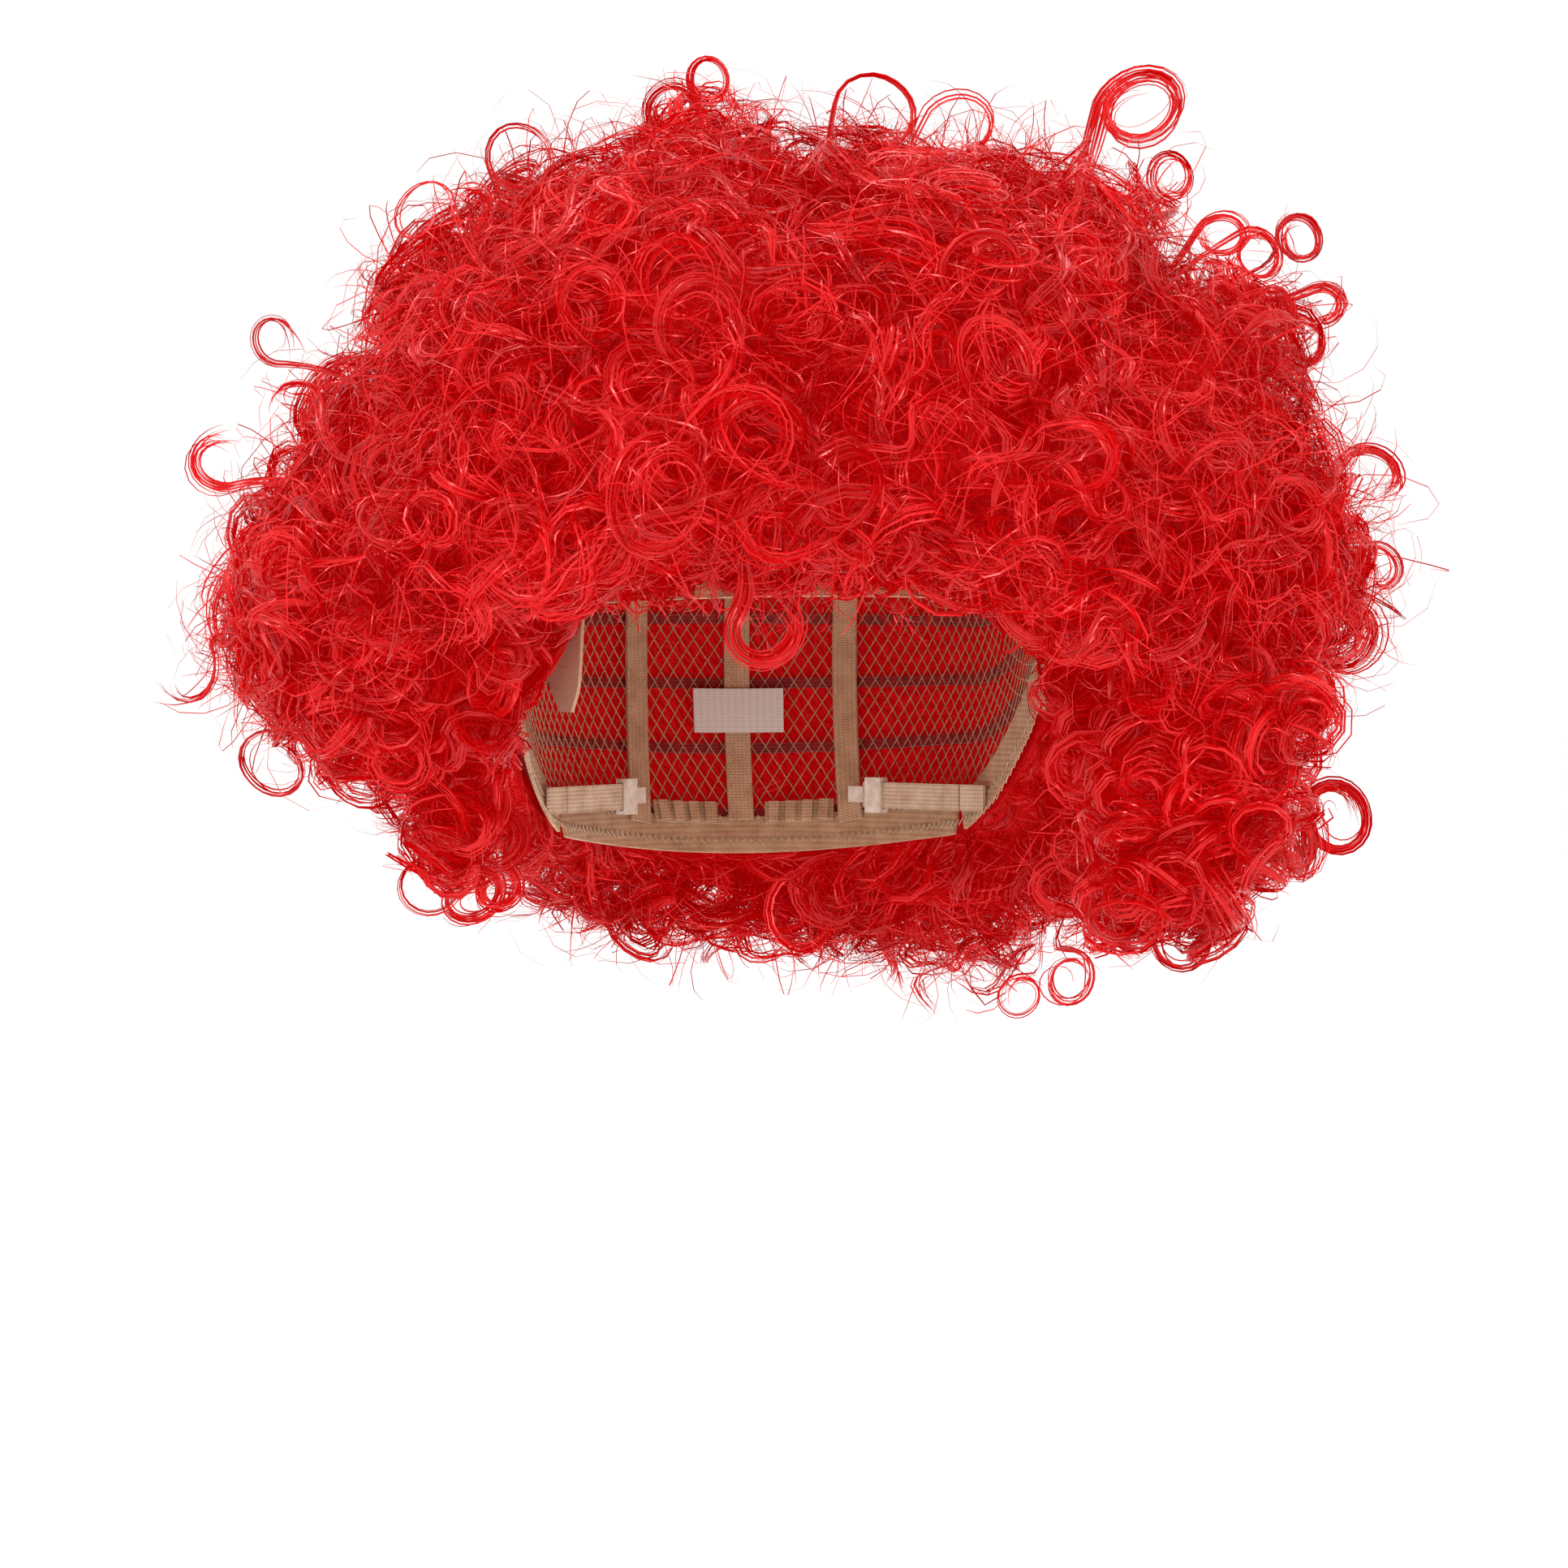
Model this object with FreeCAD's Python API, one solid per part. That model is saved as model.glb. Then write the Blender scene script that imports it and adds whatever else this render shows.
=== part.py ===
"""Curly costume wig: an elastic cap with ringed wefts of curled hair, ear tabs and two nape adjusters.

The frame is the head's: +Z up, -Y the way the face looks, +X the wearer's left.
The origin is the middle of the head at the level of the brow, where the cap grips it.
Directions from the origin are given by an azimuth (0 at +X, 90 at the nape) and an elevation, in degrees.
Every cap piece lies on one head surface, at its own layer outside or inside it.
All sizes are in millimetres.
"""

import FreeCAD
import Part
import math
import os

Vector = FreeCAD.Vector

# Head surface that the cap is cut for: half sizes
HEAD_HALF_WIDTH = 77.0
HEAD_HALF_LENGTH = 96.0
HEAD_RISE = 82.0
HEAD_DROP = 120.0

# Rim of the cap, as elevations seen from the origin
FRONT_RIM_ELEVATION = 8.5
NAPE_RIM_ELEVATION = -38.0
RIM_FALL_START = 66.0
RIM_FALL_END = 128.0

# Layers of the cap, as distances outside the head surface
RIB_LAYER = (0.0, 0.8)
BAND_LAYER = (1.5, 2.5)
NET_LAYER = (1.5, 2.1)
WEFT_LAYER = (3.2, 4.6)
HAIR_START = 5.4
LAYER_GAP = 0.3

# Rim bands
BAND_WIDTH = 12.0
FRONT_BAND_REACH = 52.0
SIDE_BAND_REACH = 126.0
BAND_JOINT_GAP = 1.8

# Crown
NET_TOP_ELEVATION = 80.0
PATCH_RADIUS = 13.0
PATCH_THICKNESS = 0.8

# Ribs inside the cap
RIB_WIDTH = 8.0
SIDE_RIB_OFFSET = 33.0
RIB_FRONT_HEIGHT = 17.0
RIB_NAPE_HEIGHT = -54.0

# Wefts and the hair sewn into them
ROW_COUNT = 10
WEFT_WIDTH = 3.2
WEFT_TOP_ELEVATION = 83.0
ROW_LIFT = 1.5
ROW_GAP = 0.6
SWIRL_RADIUS = 7.0

# Outer surface of the dense hair: half sizes from the origin
HAIR_HALF_WIDTH = 168.0
HAIR_FRONT = 132.0
HAIR_BACK = 152.0
HAIR_RISE = 157.0
HAIR_DROP = 124.0
HAIR_SQUARENESS = 2.3
HAIR_TOP_ELEVATION = 76.0
CROWN_TUFT_RISE = 5.0

# Lower edge of the hair at its outer surface, as elevations
HAIR_EDGE_FRONT = 12.0
HAIR_EDGE_NAPE = -44.0
HAIR_EDGE_LEFT = -36.0
HAIR_EDGE_RIGHT = -20.0

# Ear tabs
EAR_TAB_AZIMUTH = 57.0
EAR_TAB_WIDTH = 21.0
EAR_TAB_DROP = 30.0
EAR_TAB_THICKNESS = 1.0
EAR_TAB_TIP = 0.12
EAR_TAB_SEAM_GAP = 0.8

# Nape adjusters
STRAP_WIDTH = 8.0
STRAP_THICKNESS = 1.0
STRAP_ELEVATION = -31.0
STRAP_ANCHOR_AZIMUTH = 32.0
STRAP_FREE_AZIMUTH = 61.0
STRAP_ANCHOR_DEPTH = 3.6
STRAP_FREE_DEPTH = 6.5
STRAP_HINGE_GAP = 0.7
ANCHOR_LENGTH = 9.0
ANCHOR_THICKNESS = 1.2
HOOK_FRAME_LENGTH = 6.0
HOOK_WALL = 1.2
HOOK_CLEARANCE = 0.3
HOOK_TONGUE_LENGTH = 9.0
HOOK_TONGUE_WIDTH = 5.0
HOOK_LIP = 1.6
HOOK_END_MARGIN = 2.0
TAPE_WIDTH = 7.0
TAPE_LAYER = (0.1, 0.9)
TAPE_START_AZIMUTH = 70.5
TAPE_END_AZIMUTH = 85.0
LOOP_COUNT = 4
LOOP_HEIGHT = 1.6
LOOP_WALL = 0.7
LOOP_SPAN = 3.2

# Size label sewn inside the nape
LABEL_WIDTH = 24.0
LABEL_HEIGHT = 14.0
LABEL_LAYER = (-1.3, -0.9)
LABEL_ELEVATION = -12.0

# How finely the curved pieces are lofted
RING_STATIONS = 48
NET_STATIONS = 9
RIB_STATIONS = 41
OPEN_STEP = 3.0


def smooth(x):
    x = min(1.0, max(0.0, x))
    return x * x * (3.0 - 2.0 * x)


def direction(azimuth, elevation):
    a, e = math.radians(azimuth), math.radians(elevation)
    return Vector(math.cos(e) * math.cos(a), math.cos(e) * math.sin(a), math.sin(e))


def head_half_height(z):
    return HEAD_RISE if z >= 0 else HEAD_DROP


def onto_head(p):
    """The point of the head surface on the line from the origin through p."""
    shares = (p.x / HEAD_HALF_WIDTH, p.y / HEAD_HALF_LENGTH, p.z / head_half_height(p.z))
    return p * (1.0 / math.sqrt(sum(share**2 for share in shares)))


def head_point(azimuth, elevation):
    return onto_head(direction(azimuth, elevation))


def head_normal(p):
    half_z = head_half_height(p.z)
    n = Vector(p.x / HEAD_HALF_WIDTH**2, p.y / HEAD_HALF_LENGTH**2, p.z / half_z**2)
    return n.normalize()


def from_front(azimuth):
    """How far round from the face an azimuth is, from 0 at the front to 180 at the nape."""
    return abs((azimuth + 90.0 + 180.0) % 360.0 - 180.0)


def rim_elevation(azimuth):
    fall = smooth((from_front(azimuth) - RIM_FALL_START) / (RIM_FALL_END - RIM_FALL_START))
    return FRONT_RIM_ELEVATION + (NAPE_RIM_ELEVATION - FRONT_RIM_ELEVATION) * fall


def rim_levelness(azimuth):
    """The cosine of the rim's slope, 1 where the rim runs level."""
    before = head_point(azimuth - 1.0, rim_elevation(azimuth - 1.0))
    after = head_point(azimuth + 1.0, rim_elevation(azimuth + 1.0))
    run = after - before
    return math.hypot(run.x, run.y) / run.Length


def degrees_on_head(azimuth, elevation, length):
    """The change of elevation that covers a length up the head surface there."""
    step = 1.0
    rise = (head_point(azimuth, elevation + step) - head_point(azimuth, elevation)).Length
    return length / rise * step


def hair_radius(azimuth, elevation):
    """Distance to the hair's outer surface, an ellipsoid made a little squarer."""
    way = direction(azimuth, elevation)
    half_y = HAIR_FRONT if way.y < 0 else HAIR_BACK
    half_z = HAIR_RISE if way.z >= 0 else HAIR_DROP
    shares = (way.x / HAIR_HALF_WIDTH, way.y / half_y, way.z / half_z)
    return sum(abs(share) ** HAIR_SQUARENESS for share in shares) ** (-1.0 / HAIR_SQUARENESS)


def hair_edge_elevation(azimuth):
    """The hair's lower edge, a smooth curve through its values at the front, nape and both sides."""
    a = math.radians(azimuth)
    sides, ends = HAIR_EDGE_LEFT + HAIR_EDGE_RIGHT, HAIR_EDGE_FRONT + HAIR_EDGE_NAPE
    return (
        (sides + ends) / 4
        + (HAIR_EDGE_NAPE - HAIR_EDGE_FRONT) / 2 * math.sin(a)
        + (HAIR_EDGE_LEFT - HAIR_EDGE_RIGHT) / 2 * math.cos(a)
        + (sides - ends) / 4 * math.cos(2 * a)
    )


def row_elevation(azimuth, share):
    """Elevation on the cap of the line that is a share of the way from the rim to the crown."""
    low = rim_elevation(azimuth) + ROW_LIFT
    return low + (WEFT_TOP_ELEVATION - low) * share


def hair_row_elevation(azimuth, share):
    """The same line's elevation at the hair's outer surface."""
    low = hair_edge_elevation(azimuth)
    return low + (HAIR_TOP_ELEVATION - low) * share


def closed_azimuths():
    return [360.0 * i / RING_STATIONS for i in range(RING_STATIONS)]


def open_azimuths(start, end):
    count = max(4, round(abs(end - start) / OPEN_STEP) + 1)
    return [start + (end - start) * i / (count - 1) for i in range(count)]


def loft(wires, closed):
    solid = Part.makeLoft(wires, True, False, closed)
    if solid.ShapeType != "Solid":
        solid = Part.makeSolid(solid)
    return facing_out(solid)


def strip(points, widths, layer, closed=False):
    """A tape along points on the head surface, flat across its width, between two layers."""
    wires = []
    last = len(points) - 1
    for i, p in enumerate(points):
        before = points[(i - 1) % len(points)] if closed else points[max(0, i - 1)]
        after = points[(i + 1) % len(points)] if closed else points[min(last, i + 1)]
        normal = head_normal(p)
        across = normal.cross((after - before).normalize()).normalize()
        half = across * (widths[i] / 2)
        low, high = p + normal * layer[0], p + normal * layer[1]
        wires.append(Part.makePolygon([low - half, low + half, high + half, high - half, low - half]))
    return loft(wires, closed)


def band(start, end):
    """A stretch of the rim band, its lower edge on the rim."""
    points = []
    for a in open_azimuths(start, end):
        low = rim_elevation(a)
        points.append(head_point(a, low + degrees_on_head(a, low, BAND_WIDTH / 2 / rim_levelness(a))))
    return strip(points, [BAND_WIDTH] * len(points), BAND_LAYER)


def net_section(azimuth):
    """The net's cross-section on one azimuth: a thin strip from the rim band to near the crown."""
    low = rim_elevation(azimuth)
    low += degrees_on_head(azimuth, low, (BAND_WIDTH + BAND_JOINT_GAP) / rim_levelness(azimuth))
    steps = [low + (NET_TOP_ELEVATION - low) * i / (NET_STATIONS - 1) for i in range(NET_STATIONS)]
    on_head = [head_point(azimuth, e) for e in steps]
    inner = [p + head_normal(p) * NET_LAYER[0] for p in on_head]
    outer = [p + head_normal(p) * NET_LAYER[1] for p in on_head]
    return four_sided(inner, outer)


def curve(points):
    """An arc through three points, or a smooth curve through more."""
    if len(points) == 3:
        return Part.Arc(*points).toShape()
    spline = Part.BSplineCurve()
    spline.interpolate(points)
    return spline.toShape()


def four_sided(inner, outer):
    """A closed wire of two curves, each through its points, joined by two straight sides."""
    return Part.Wire(
        [
            curve(inner),
            Part.makeLine(inner[-1], outer[-1]),
            curve(list(reversed(outer))),
            Part.makeLine(outer[0], inner[0]),
        ]
    )


def facing_out(solid):
    """The solid with its faces pointing out of it, whichever way its outline ran."""
    points, triangles = solid.tessellate(1.0)
    signed = sum(points[a].dot(points[b].cross(points[c])) for a, b, c in triangles)
    if signed < 0:
        solid.reverse()
    return solid


def crown_net():
    return loft([net_section(a) for a in closed_azimuths()], True)


def crown_patch():
    """The small round patch, curved like the crown, that closes the net at the top."""
    low = HEAD_RISE + NET_LAYER[1] + LAYER_GAP
    radius = HEAD_HALF_LENGTH**2 / HEAD_RISE
    middle = Vector(0, 0, low - radius)
    shell = Part.makeSphere(radius + PATCH_THICKNESS, middle).cut(Part.makeSphere(radius, middle))
    punch = Part.makeCylinder(PATCH_RADIUS, 2 * PATCH_RADIUS, Vector(0, 0, low - PATCH_RADIUS))
    return shell.common(punch)


def rib(offset):
    """An elastic tape from the front band over the crown to the nape band, beside the middle."""
    squeeze = math.sqrt(1 - (offset / HEAD_HALF_WIDTH) ** 2)
    front = math.asin(RIB_FRONT_HEIGHT / (HEAD_RISE * squeeze))
    nape = math.asin(RIB_NAPE_HEIGHT / (HEAD_DROP * squeeze))
    points = []
    for i in range(RIB_STATIONS):
        turn = front + (math.pi - nape - front) * i / (RIB_STATIONS - 1)
        half_z = head_half_height(math.sin(turn))
        y = -HEAD_HALF_LENGTH * squeeze * math.cos(turn)
        points.append(Vector(offset, y, half_z * squeeze * math.sin(turn)))
    return strip(points, [RIB_WIDTH] * RIB_STATIONS, RIB_LAYER)


def weft(row):
    """The sewn track of one ring of hair."""
    share = (row - 0.5) / ROW_COUNT
    points = [head_point(a, row_elevation(a, share)) for a in closed_azimuths()]
    return strip(points, [WEFT_WIDTH] * len(points), WEFT_LAYER, closed=True)


def crown_swirl():
    """The weft's last turn, a small ring sewn on the crown patch."""
    height = HEAD_RISE + NET_LAYER[1] + LAYER_GAP + PATCH_THICKNESS + LAYER_GAP
    thickness = WEFT_LAYER[1] - WEFT_LAYER[0]
    outer = Part.makeCylinder(SWIRL_RADIUS + WEFT_WIDTH / 2, thickness, Vector(0, 0, height))
    inner = Part.makeCylinder(SWIRL_RADIUS - WEFT_WIDTH / 2, thickness, Vector(0, 0, height))
    return outer.cut(inner)


def hair_section(azimuth, row):
    """Cross-section of one ring of hair, from just outside its weft to the hair's outer surface."""
    inner, outer = [], []
    for step in (0.0, 0.5, 1.0):
        share = (row - 1 + step) / ROW_COUNT
        clear = math.degrees(ROW_GAP / hair_radius(azimuth, 0)) * (1 - 2 * step)
        near = row_elevation(azimuth, share) + 2 * clear
        far = hair_row_elevation(azimuth, share) + clear
        inner.append(direction(azimuth, near) * (head_point(azimuth, near).Length + HAIR_START))
        outer.append(direction(azimuth, far) * hair_radius(azimuth, far))
    return four_sided(inner, outer)


def hair_row(row):
    return loft([hair_section(a, row) for a in closed_azimuths()], True)


def crown_tuft():
    """The hair of the crown swirl: a blunt cone inside the top ring of hair, domed on top."""
    low = min(head_point(a, WEFT_TOP_ELEVATION).Length for a in (0.0, 90.0)) + HAIR_START
    base = low * math.cos(math.radians(WEFT_TOP_ELEVATION)) - 2 * ROW_GAP
    wide = min(hair_radius(a, HAIR_TOP_ELEVATION) for a in (0.0, 90.0, 270.0))
    rim = wide * math.cos(math.radians(HAIR_TOP_ELEVATION)) - 2 * ROW_GAP
    floor = HEAD_RISE + NET_LAYER[1] + 2 * LAYER_GAP + PATCH_THICKNESS + WEFT_LAYER[1] - WEFT_LAYER[0]
    floor += LAYER_GAP
    edge = wide * math.sin(math.radians(HAIR_TOP_ELEVATION))
    cone = Part.makeCone(base, rim, edge - floor, Vector(0, 0, floor))
    height = HAIR_RISE + CROWN_TUFT_RISE - edge
    radius = (rim**2 + height**2) / (2 * height)
    latitude = math.degrees(math.asin((radius - height) / radius))
    dome = Part.makeSphere(radius, Vector(0, 0, edge + height - radius), Vector(0, 0, 1), latitude, 90, 360)
    return cone.fuse(dome)


def ear_tab(side):
    """A soft tab below the rim in front of the ear, narrowing to a round end."""
    azimuth = side_azimuth(side, EAR_TAB_AZIMUTH)
    seam = head_point(azimuth, rim_elevation(azimuth))
    behind = azimuth + side
    along_rim = head_point(behind, rim_elevation(behind)) - seam
    down = along_rim.cross(head_normal(seam)).normalize() * side
    points, widths = [], []
    for share in (0.0, 0.2, 0.4, 0.6, 0.8, 0.92, 1.0):
        points.append(onto_head(seam + down * (EAR_TAB_SEAM_GAP + EAR_TAB_DROP * share)))
        widths.append(EAR_TAB_WIDTH * math.sqrt(max(EAR_TAB_TIP, 1 - share**3)))
    return strip(points, widths, (BAND_LAYER[0], BAND_LAYER[0] + EAR_TAB_THICKNESS))


def side_azimuth(side, round_from_front):
    """The azimuth on the wearer's left (side 1) or right (side -1), so far round from the face."""
    return -90.0 + side * round_from_front


def nape_azimuth(side, azimuth):
    """An azimuth given for the wearer's left, or its mirror image on the right."""
    return azimuth if side > 0 else 180.0 - azimuth


class StrapFrame:
    """Where one adjuster strap lies: straight, level and upright, from its anchor towards the nape."""

    def __init__(self, side):
        start = head_point(nape_azimuth(side, STRAP_ANCHOR_AZIMUTH), STRAP_ELEVATION)
        end = head_point(nape_azimuth(side, STRAP_FREE_AZIMUTH), STRAP_ELEVATION)
        start = start - head_normal(start) * STRAP_ANCHOR_DEPTH
        end = end - head_normal(end) * STRAP_FREE_DEPTH
        height = (start.z + end.z) / 2
        self.start = Vector(start.x, start.y, height)
        along = Vector(end.x - start.x, end.y - start.y, 0)
        self.length = along.Length
        self.along = along.normalize()
        self.up = Vector(0, 0, 1)
        outward = self.along.cross(self.up)
        self.outward = outward if outward.dot(self.start) > 0 else outward * -1

    def box(self, along, up, outward):
        """A box between two distances on each of the strap's own directions."""
        corner = self.start + self.along * along[0] + self.up * up[0] + self.outward * outward[0]
        edge = self.up * (up[1] - up[0])
        wide = self.outward * (outward[1] - outward[0])
        base = Part.makePolygon([corner, corner + edge, corner + edge + wide, corner + wide, corner])
        solid = Part.Face(base).extrude(self.along * (along[1] - along[0]))
        if solid.Volume < 0:
            solid.reverse()
        return solid


def strap(frame):
    half_width, half_thickness = STRAP_WIDTH / 2, STRAP_THICKNESS / 2
    return frame.box((0, frame.length), (-half_width, half_width), (-half_thickness, half_thickness))


def anchor(frame):
    """The folded tab sewn behind the ear that the strap swings on."""
    half_width, half_thickness = STRAP_WIDTH / 2, ANCHOR_THICKNESS / 2
    end = -STRAP_HINGE_GAP
    return frame.box((end - ANCHOR_LENGTH, end), (-half_width, half_width), (-half_thickness, half_thickness))


def hook(frame):
    """A moulded slider round the strap, with a lipped tongue that catches a loop of the tape."""
    half_width = STRAP_WIDTH / 2 + HOOK_CLEARANCE
    half_depth = STRAP_THICKNESS / 2 + HOOK_CLEARANCE
    end = frame.length - HOOK_END_MARGIN
    start = end - HOOK_FRAME_LENGTH
    outer_width, outer_depth = half_width + HOOK_WALL, half_depth + HOOK_WALL
    body = frame.box((start, end), (-outer_width, outer_width), (-outer_depth, outer_depth))
    slot = frame.box((start - 1, end + 1), (-half_width, half_width), (-half_depth, half_depth))
    half_tongue = HOOK_TONGUE_WIDTH / 2
    reach = end + HOOK_TONGUE_LENGTH
    tongue = frame.box((end, reach), (-half_tongue, half_tongue), (half_depth, outer_depth))
    lip = frame.box((reach - HOOK_WALL, reach), (-half_tongue, half_tongue), (half_depth, outer_depth + HOOK_LIP))
    return body.cut(slot).fuse(tongue).fuse(lip).removeSplitter()


def local_block(p, normal, along, up, spans):
    """A box at p between two distances along, up and out of the surface."""
    (a0, a1), (u0, u1), (n0, n1) = spans
    corner = p + along * a0 + up * u0 + normal * n0
    base = Part.makePolygon(
        [
            corner,
            corner + up * (u1 - u0),
            corner + up * (u1 - u0) + normal * (n1 - n0),
            corner + normal * (n1 - n0),
            corner,
        ]
    )
    solid = Part.Face(base).extrude(along * (a1 - a0))
    return facing_out(solid)


def loop_tape(side):
    """A tape sewn inside the nape band, with a row of loops for the hook."""
    azimuths = [TAPE_START_AZIMUTH + (TAPE_END_AZIMUTH - TAPE_START_AZIMUTH) * i / 4 for i in range(5)]
    points = [head_point(nape_azimuth(side, a), STRAP_ELEVATION) for a in azimuths]
    tape = strip(points, [TAPE_WIDTH] * len(points), TAPE_LAYER)
    for i in range(LOOP_COUNT):
        share = (i + 0.5) / LOOP_COUNT
        a = TAPE_START_AZIMUTH + (TAPE_END_AZIMUTH - TAPE_START_AZIMUTH) * share
        p = head_point(nape_azimuth(side, a), STRAP_ELEVATION)
        normal = head_normal(p)
        along = Vector(0, 0, 1).cross(normal).normalize()
        up = normal.cross(along)
        half = TAPE_WIDTH / 2 - LOOP_WALL / 2
        low, half_span = TAPE_LAYER[0], LOOP_SPAN / 2
        bridge = local_block(
            p, normal, along, up, ((-half_span, half_span), (-half, half), (low - LOOP_HEIGHT, low + LOOP_WALL / 2))
        )
        hollow = local_block(
            p,
            normal,
            along,
            up,
            (
                (-half_span - 1, half_span + 1),
                (-half + LOOP_WALL, half - LOOP_WALL),
                (low - LOOP_HEIGHT + LOOP_WALL, low),
            ),
        )
        tape = tape.fuse(bridge.cut(hollow))
    return tape.removeSplitter()


def size_label():
    """A blank satin label sewn by its upper edge inside the nape."""
    half = math.degrees(LABEL_WIDTH / 2 / HEAD_HALF_LENGTH) * HEAD_HALF_LENGTH / HEAD_HALF_WIDTH
    points = [head_point(90 - half + half * i / 2, LABEL_ELEVATION) for i in range(5)]
    return strip(points, [LABEL_HEIGHT] * len(points), LABEL_LAYER)


def report(name, solid):
    box = solid.BoundBox
    print(f"{name:24s} valid {solid.isValid()} {solid.Volume / 1000:9.2f} cm3 z {box.ZMin:7.1f} {box.ZMax:7.1f}")


def build():
    parts = {"crown_net": crown_net(), "crown_patch": crown_patch(), "size_label": size_label()}
    joint = BAND_JOINT_GAP / 2
    parts["front_band"] = band(-90 - FRONT_BAND_REACH + joint, -90 + FRONT_BAND_REACH - joint)
    parts["nape_band"] = band(-90 + SIDE_BAND_REACH + joint, 270 - SIDE_BAND_REACH - joint)
    for side, word in ((1, "left"), (-1, "right")):
        near = side_azimuth(side, FRONT_BAND_REACH + joint)
        far = side_azimuth(side, SIDE_BAND_REACH - joint)
        parts[f"side_band_{word}"] = band(near, far)
        parts[f"ear_tab_{word}"] = ear_tab(side)
        parts[f"rib_{word}"] = rib(side * SIDE_RIB_OFFSET)
        frame = StrapFrame(side)
        parts[f"adjuster_strap_{word}"] = strap(frame)
        parts[f"strap_anchor_{word}"] = anchor(frame)
        parts[f"adjuster_hook_{word}"] = hook(frame)
        parts[f"loop_tape_{word}"] = loop_tape(side)
    parts["rib_center"] = rib(0.0)
    for row in range(1, ROW_COUNT + 1):
        parts[f"weft_track_{row:02d}"] = weft(row)
        parts[f"hair_row_{row:02d}"] = hair_row(row)
    parts["crown_swirl"] = crown_swirl()
    parts["hair_crown_tuft"] = crown_tuft()
    return parts


def main():
    os.makedirs("parts", exist_ok=True)
    parts = build()
    for name, solid in sorted(parts.items()):
        report(name, solid)
        solid.exportStep(f"parts/{name}.step")
    print(f"{len(parts)} nodes, {sum(s.Volume for s in parts.values()) / 1e6:.3f} litres")


main()
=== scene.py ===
"""A curly costume wig: coiled red hair over a tan net cap with bands, ear tabs and nape adjusters."""

import math

import bmesh
import bpy
import numpy as np
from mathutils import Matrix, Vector, noise
from mathutils.bvhtree import BVHTree


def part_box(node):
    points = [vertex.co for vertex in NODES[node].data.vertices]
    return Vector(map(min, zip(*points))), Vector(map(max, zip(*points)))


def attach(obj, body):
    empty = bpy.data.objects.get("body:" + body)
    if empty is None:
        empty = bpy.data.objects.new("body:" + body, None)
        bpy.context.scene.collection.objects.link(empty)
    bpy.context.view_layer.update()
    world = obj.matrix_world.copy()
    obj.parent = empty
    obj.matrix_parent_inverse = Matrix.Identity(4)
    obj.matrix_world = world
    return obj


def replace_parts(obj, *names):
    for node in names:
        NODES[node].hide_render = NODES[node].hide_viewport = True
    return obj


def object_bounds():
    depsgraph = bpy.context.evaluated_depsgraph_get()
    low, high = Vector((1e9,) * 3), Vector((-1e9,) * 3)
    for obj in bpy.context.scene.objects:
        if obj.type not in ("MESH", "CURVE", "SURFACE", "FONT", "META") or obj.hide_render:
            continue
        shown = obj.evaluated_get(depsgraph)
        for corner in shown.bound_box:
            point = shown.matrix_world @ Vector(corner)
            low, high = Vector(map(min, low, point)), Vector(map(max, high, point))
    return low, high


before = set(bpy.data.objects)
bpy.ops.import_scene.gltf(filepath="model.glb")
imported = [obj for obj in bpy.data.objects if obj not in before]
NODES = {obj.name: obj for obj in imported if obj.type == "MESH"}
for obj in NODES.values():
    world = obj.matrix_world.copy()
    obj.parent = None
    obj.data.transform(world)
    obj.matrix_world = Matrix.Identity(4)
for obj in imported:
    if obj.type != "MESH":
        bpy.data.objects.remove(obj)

bl_info = {
    "name": "Curly Costume Wig",
    "version": (1, 0, 0),
    "blender": (4, 5, 0),
    "location": "3D View > Sidebar > Wig",
    "description": "Dresses the packed costume wig with coiled hair, a net cap and its trims",
    "category": "Object",
}

CAD_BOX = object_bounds()
HAIR_ROWS = sorted(name for name in NODES if name.startswith("hair_row_"))
HAIR_NODES = HAIR_ROWS + ["hair_crown_tuft"]
RIM_BANDS = ("front_band", "side_band_left", "side_band_right", "nape_band")
MM = 0.001


# ---------------------------------------------------------------- small tools


def linear(hex_colour):
    """An sRGB hex colour as linear red, green, blue and alpha."""
    parts = [int(hex_colour[i : i + 2], 16) / 255.0 for i in (1, 3, 5)]
    return tuple(c / 12.92 if c <= 0.04045 else ((c + 0.055) / 1.055) ** 2.4 for c in parts) + (1.0,)


def add_node(tree, kind, settings=None, links=None, stops=None, **properties):
    """Adds a node, sets its properties, inputs and colour stops, and links its inputs.

    A link comes from an output, or from a node, which stands for its first output.
    """
    node = tree.nodes.new(kind)
    for name, value in properties.items():
        setattr(node, name, value)
    for name, value in (settings or {}).items():
        node.inputs[name].default_value = value
    for name, source in (links or {}).items():
        socket = source if isinstance(source, bpy.types.NodeSocket) else source.outputs[0]
        tree.links.new(socket, node.inputs[name])
    if stops:
        elements = node.color_ramp.elements
        elements.remove(elements[1])
        elements[0].position, elements[0].color = stops[0][0], linear(stops[0][1])
        for position, colour in stops[1:]:
            elements.new(position).color = linear(colour)
    return node


def new_material(name):
    """A material with an empty node tree, that tree, and where a point lies on its piece."""
    material = bpy.data.materials.new(name)
    material.use_nodes = True
    tree = material.node_tree
    tree.nodes.clear()
    return material, tree, add_node(tree, "ShaderNodeTexCoord").outputs["Object"]


def finish_material(tree, settings, links):
    """The shader and the output that every material ends in."""
    shader = add_node(tree, "ShaderNodeBsdfPrincipled", settings, links)
    add_node(tree, "ShaderNodeOutputMaterial", links={"Surface": shader})


def link_object(name, mesh):
    obj = bpy.data.objects.new(name, mesh)
    bpy.context.scene.collection.objects.link(obj)
    return obj


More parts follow.
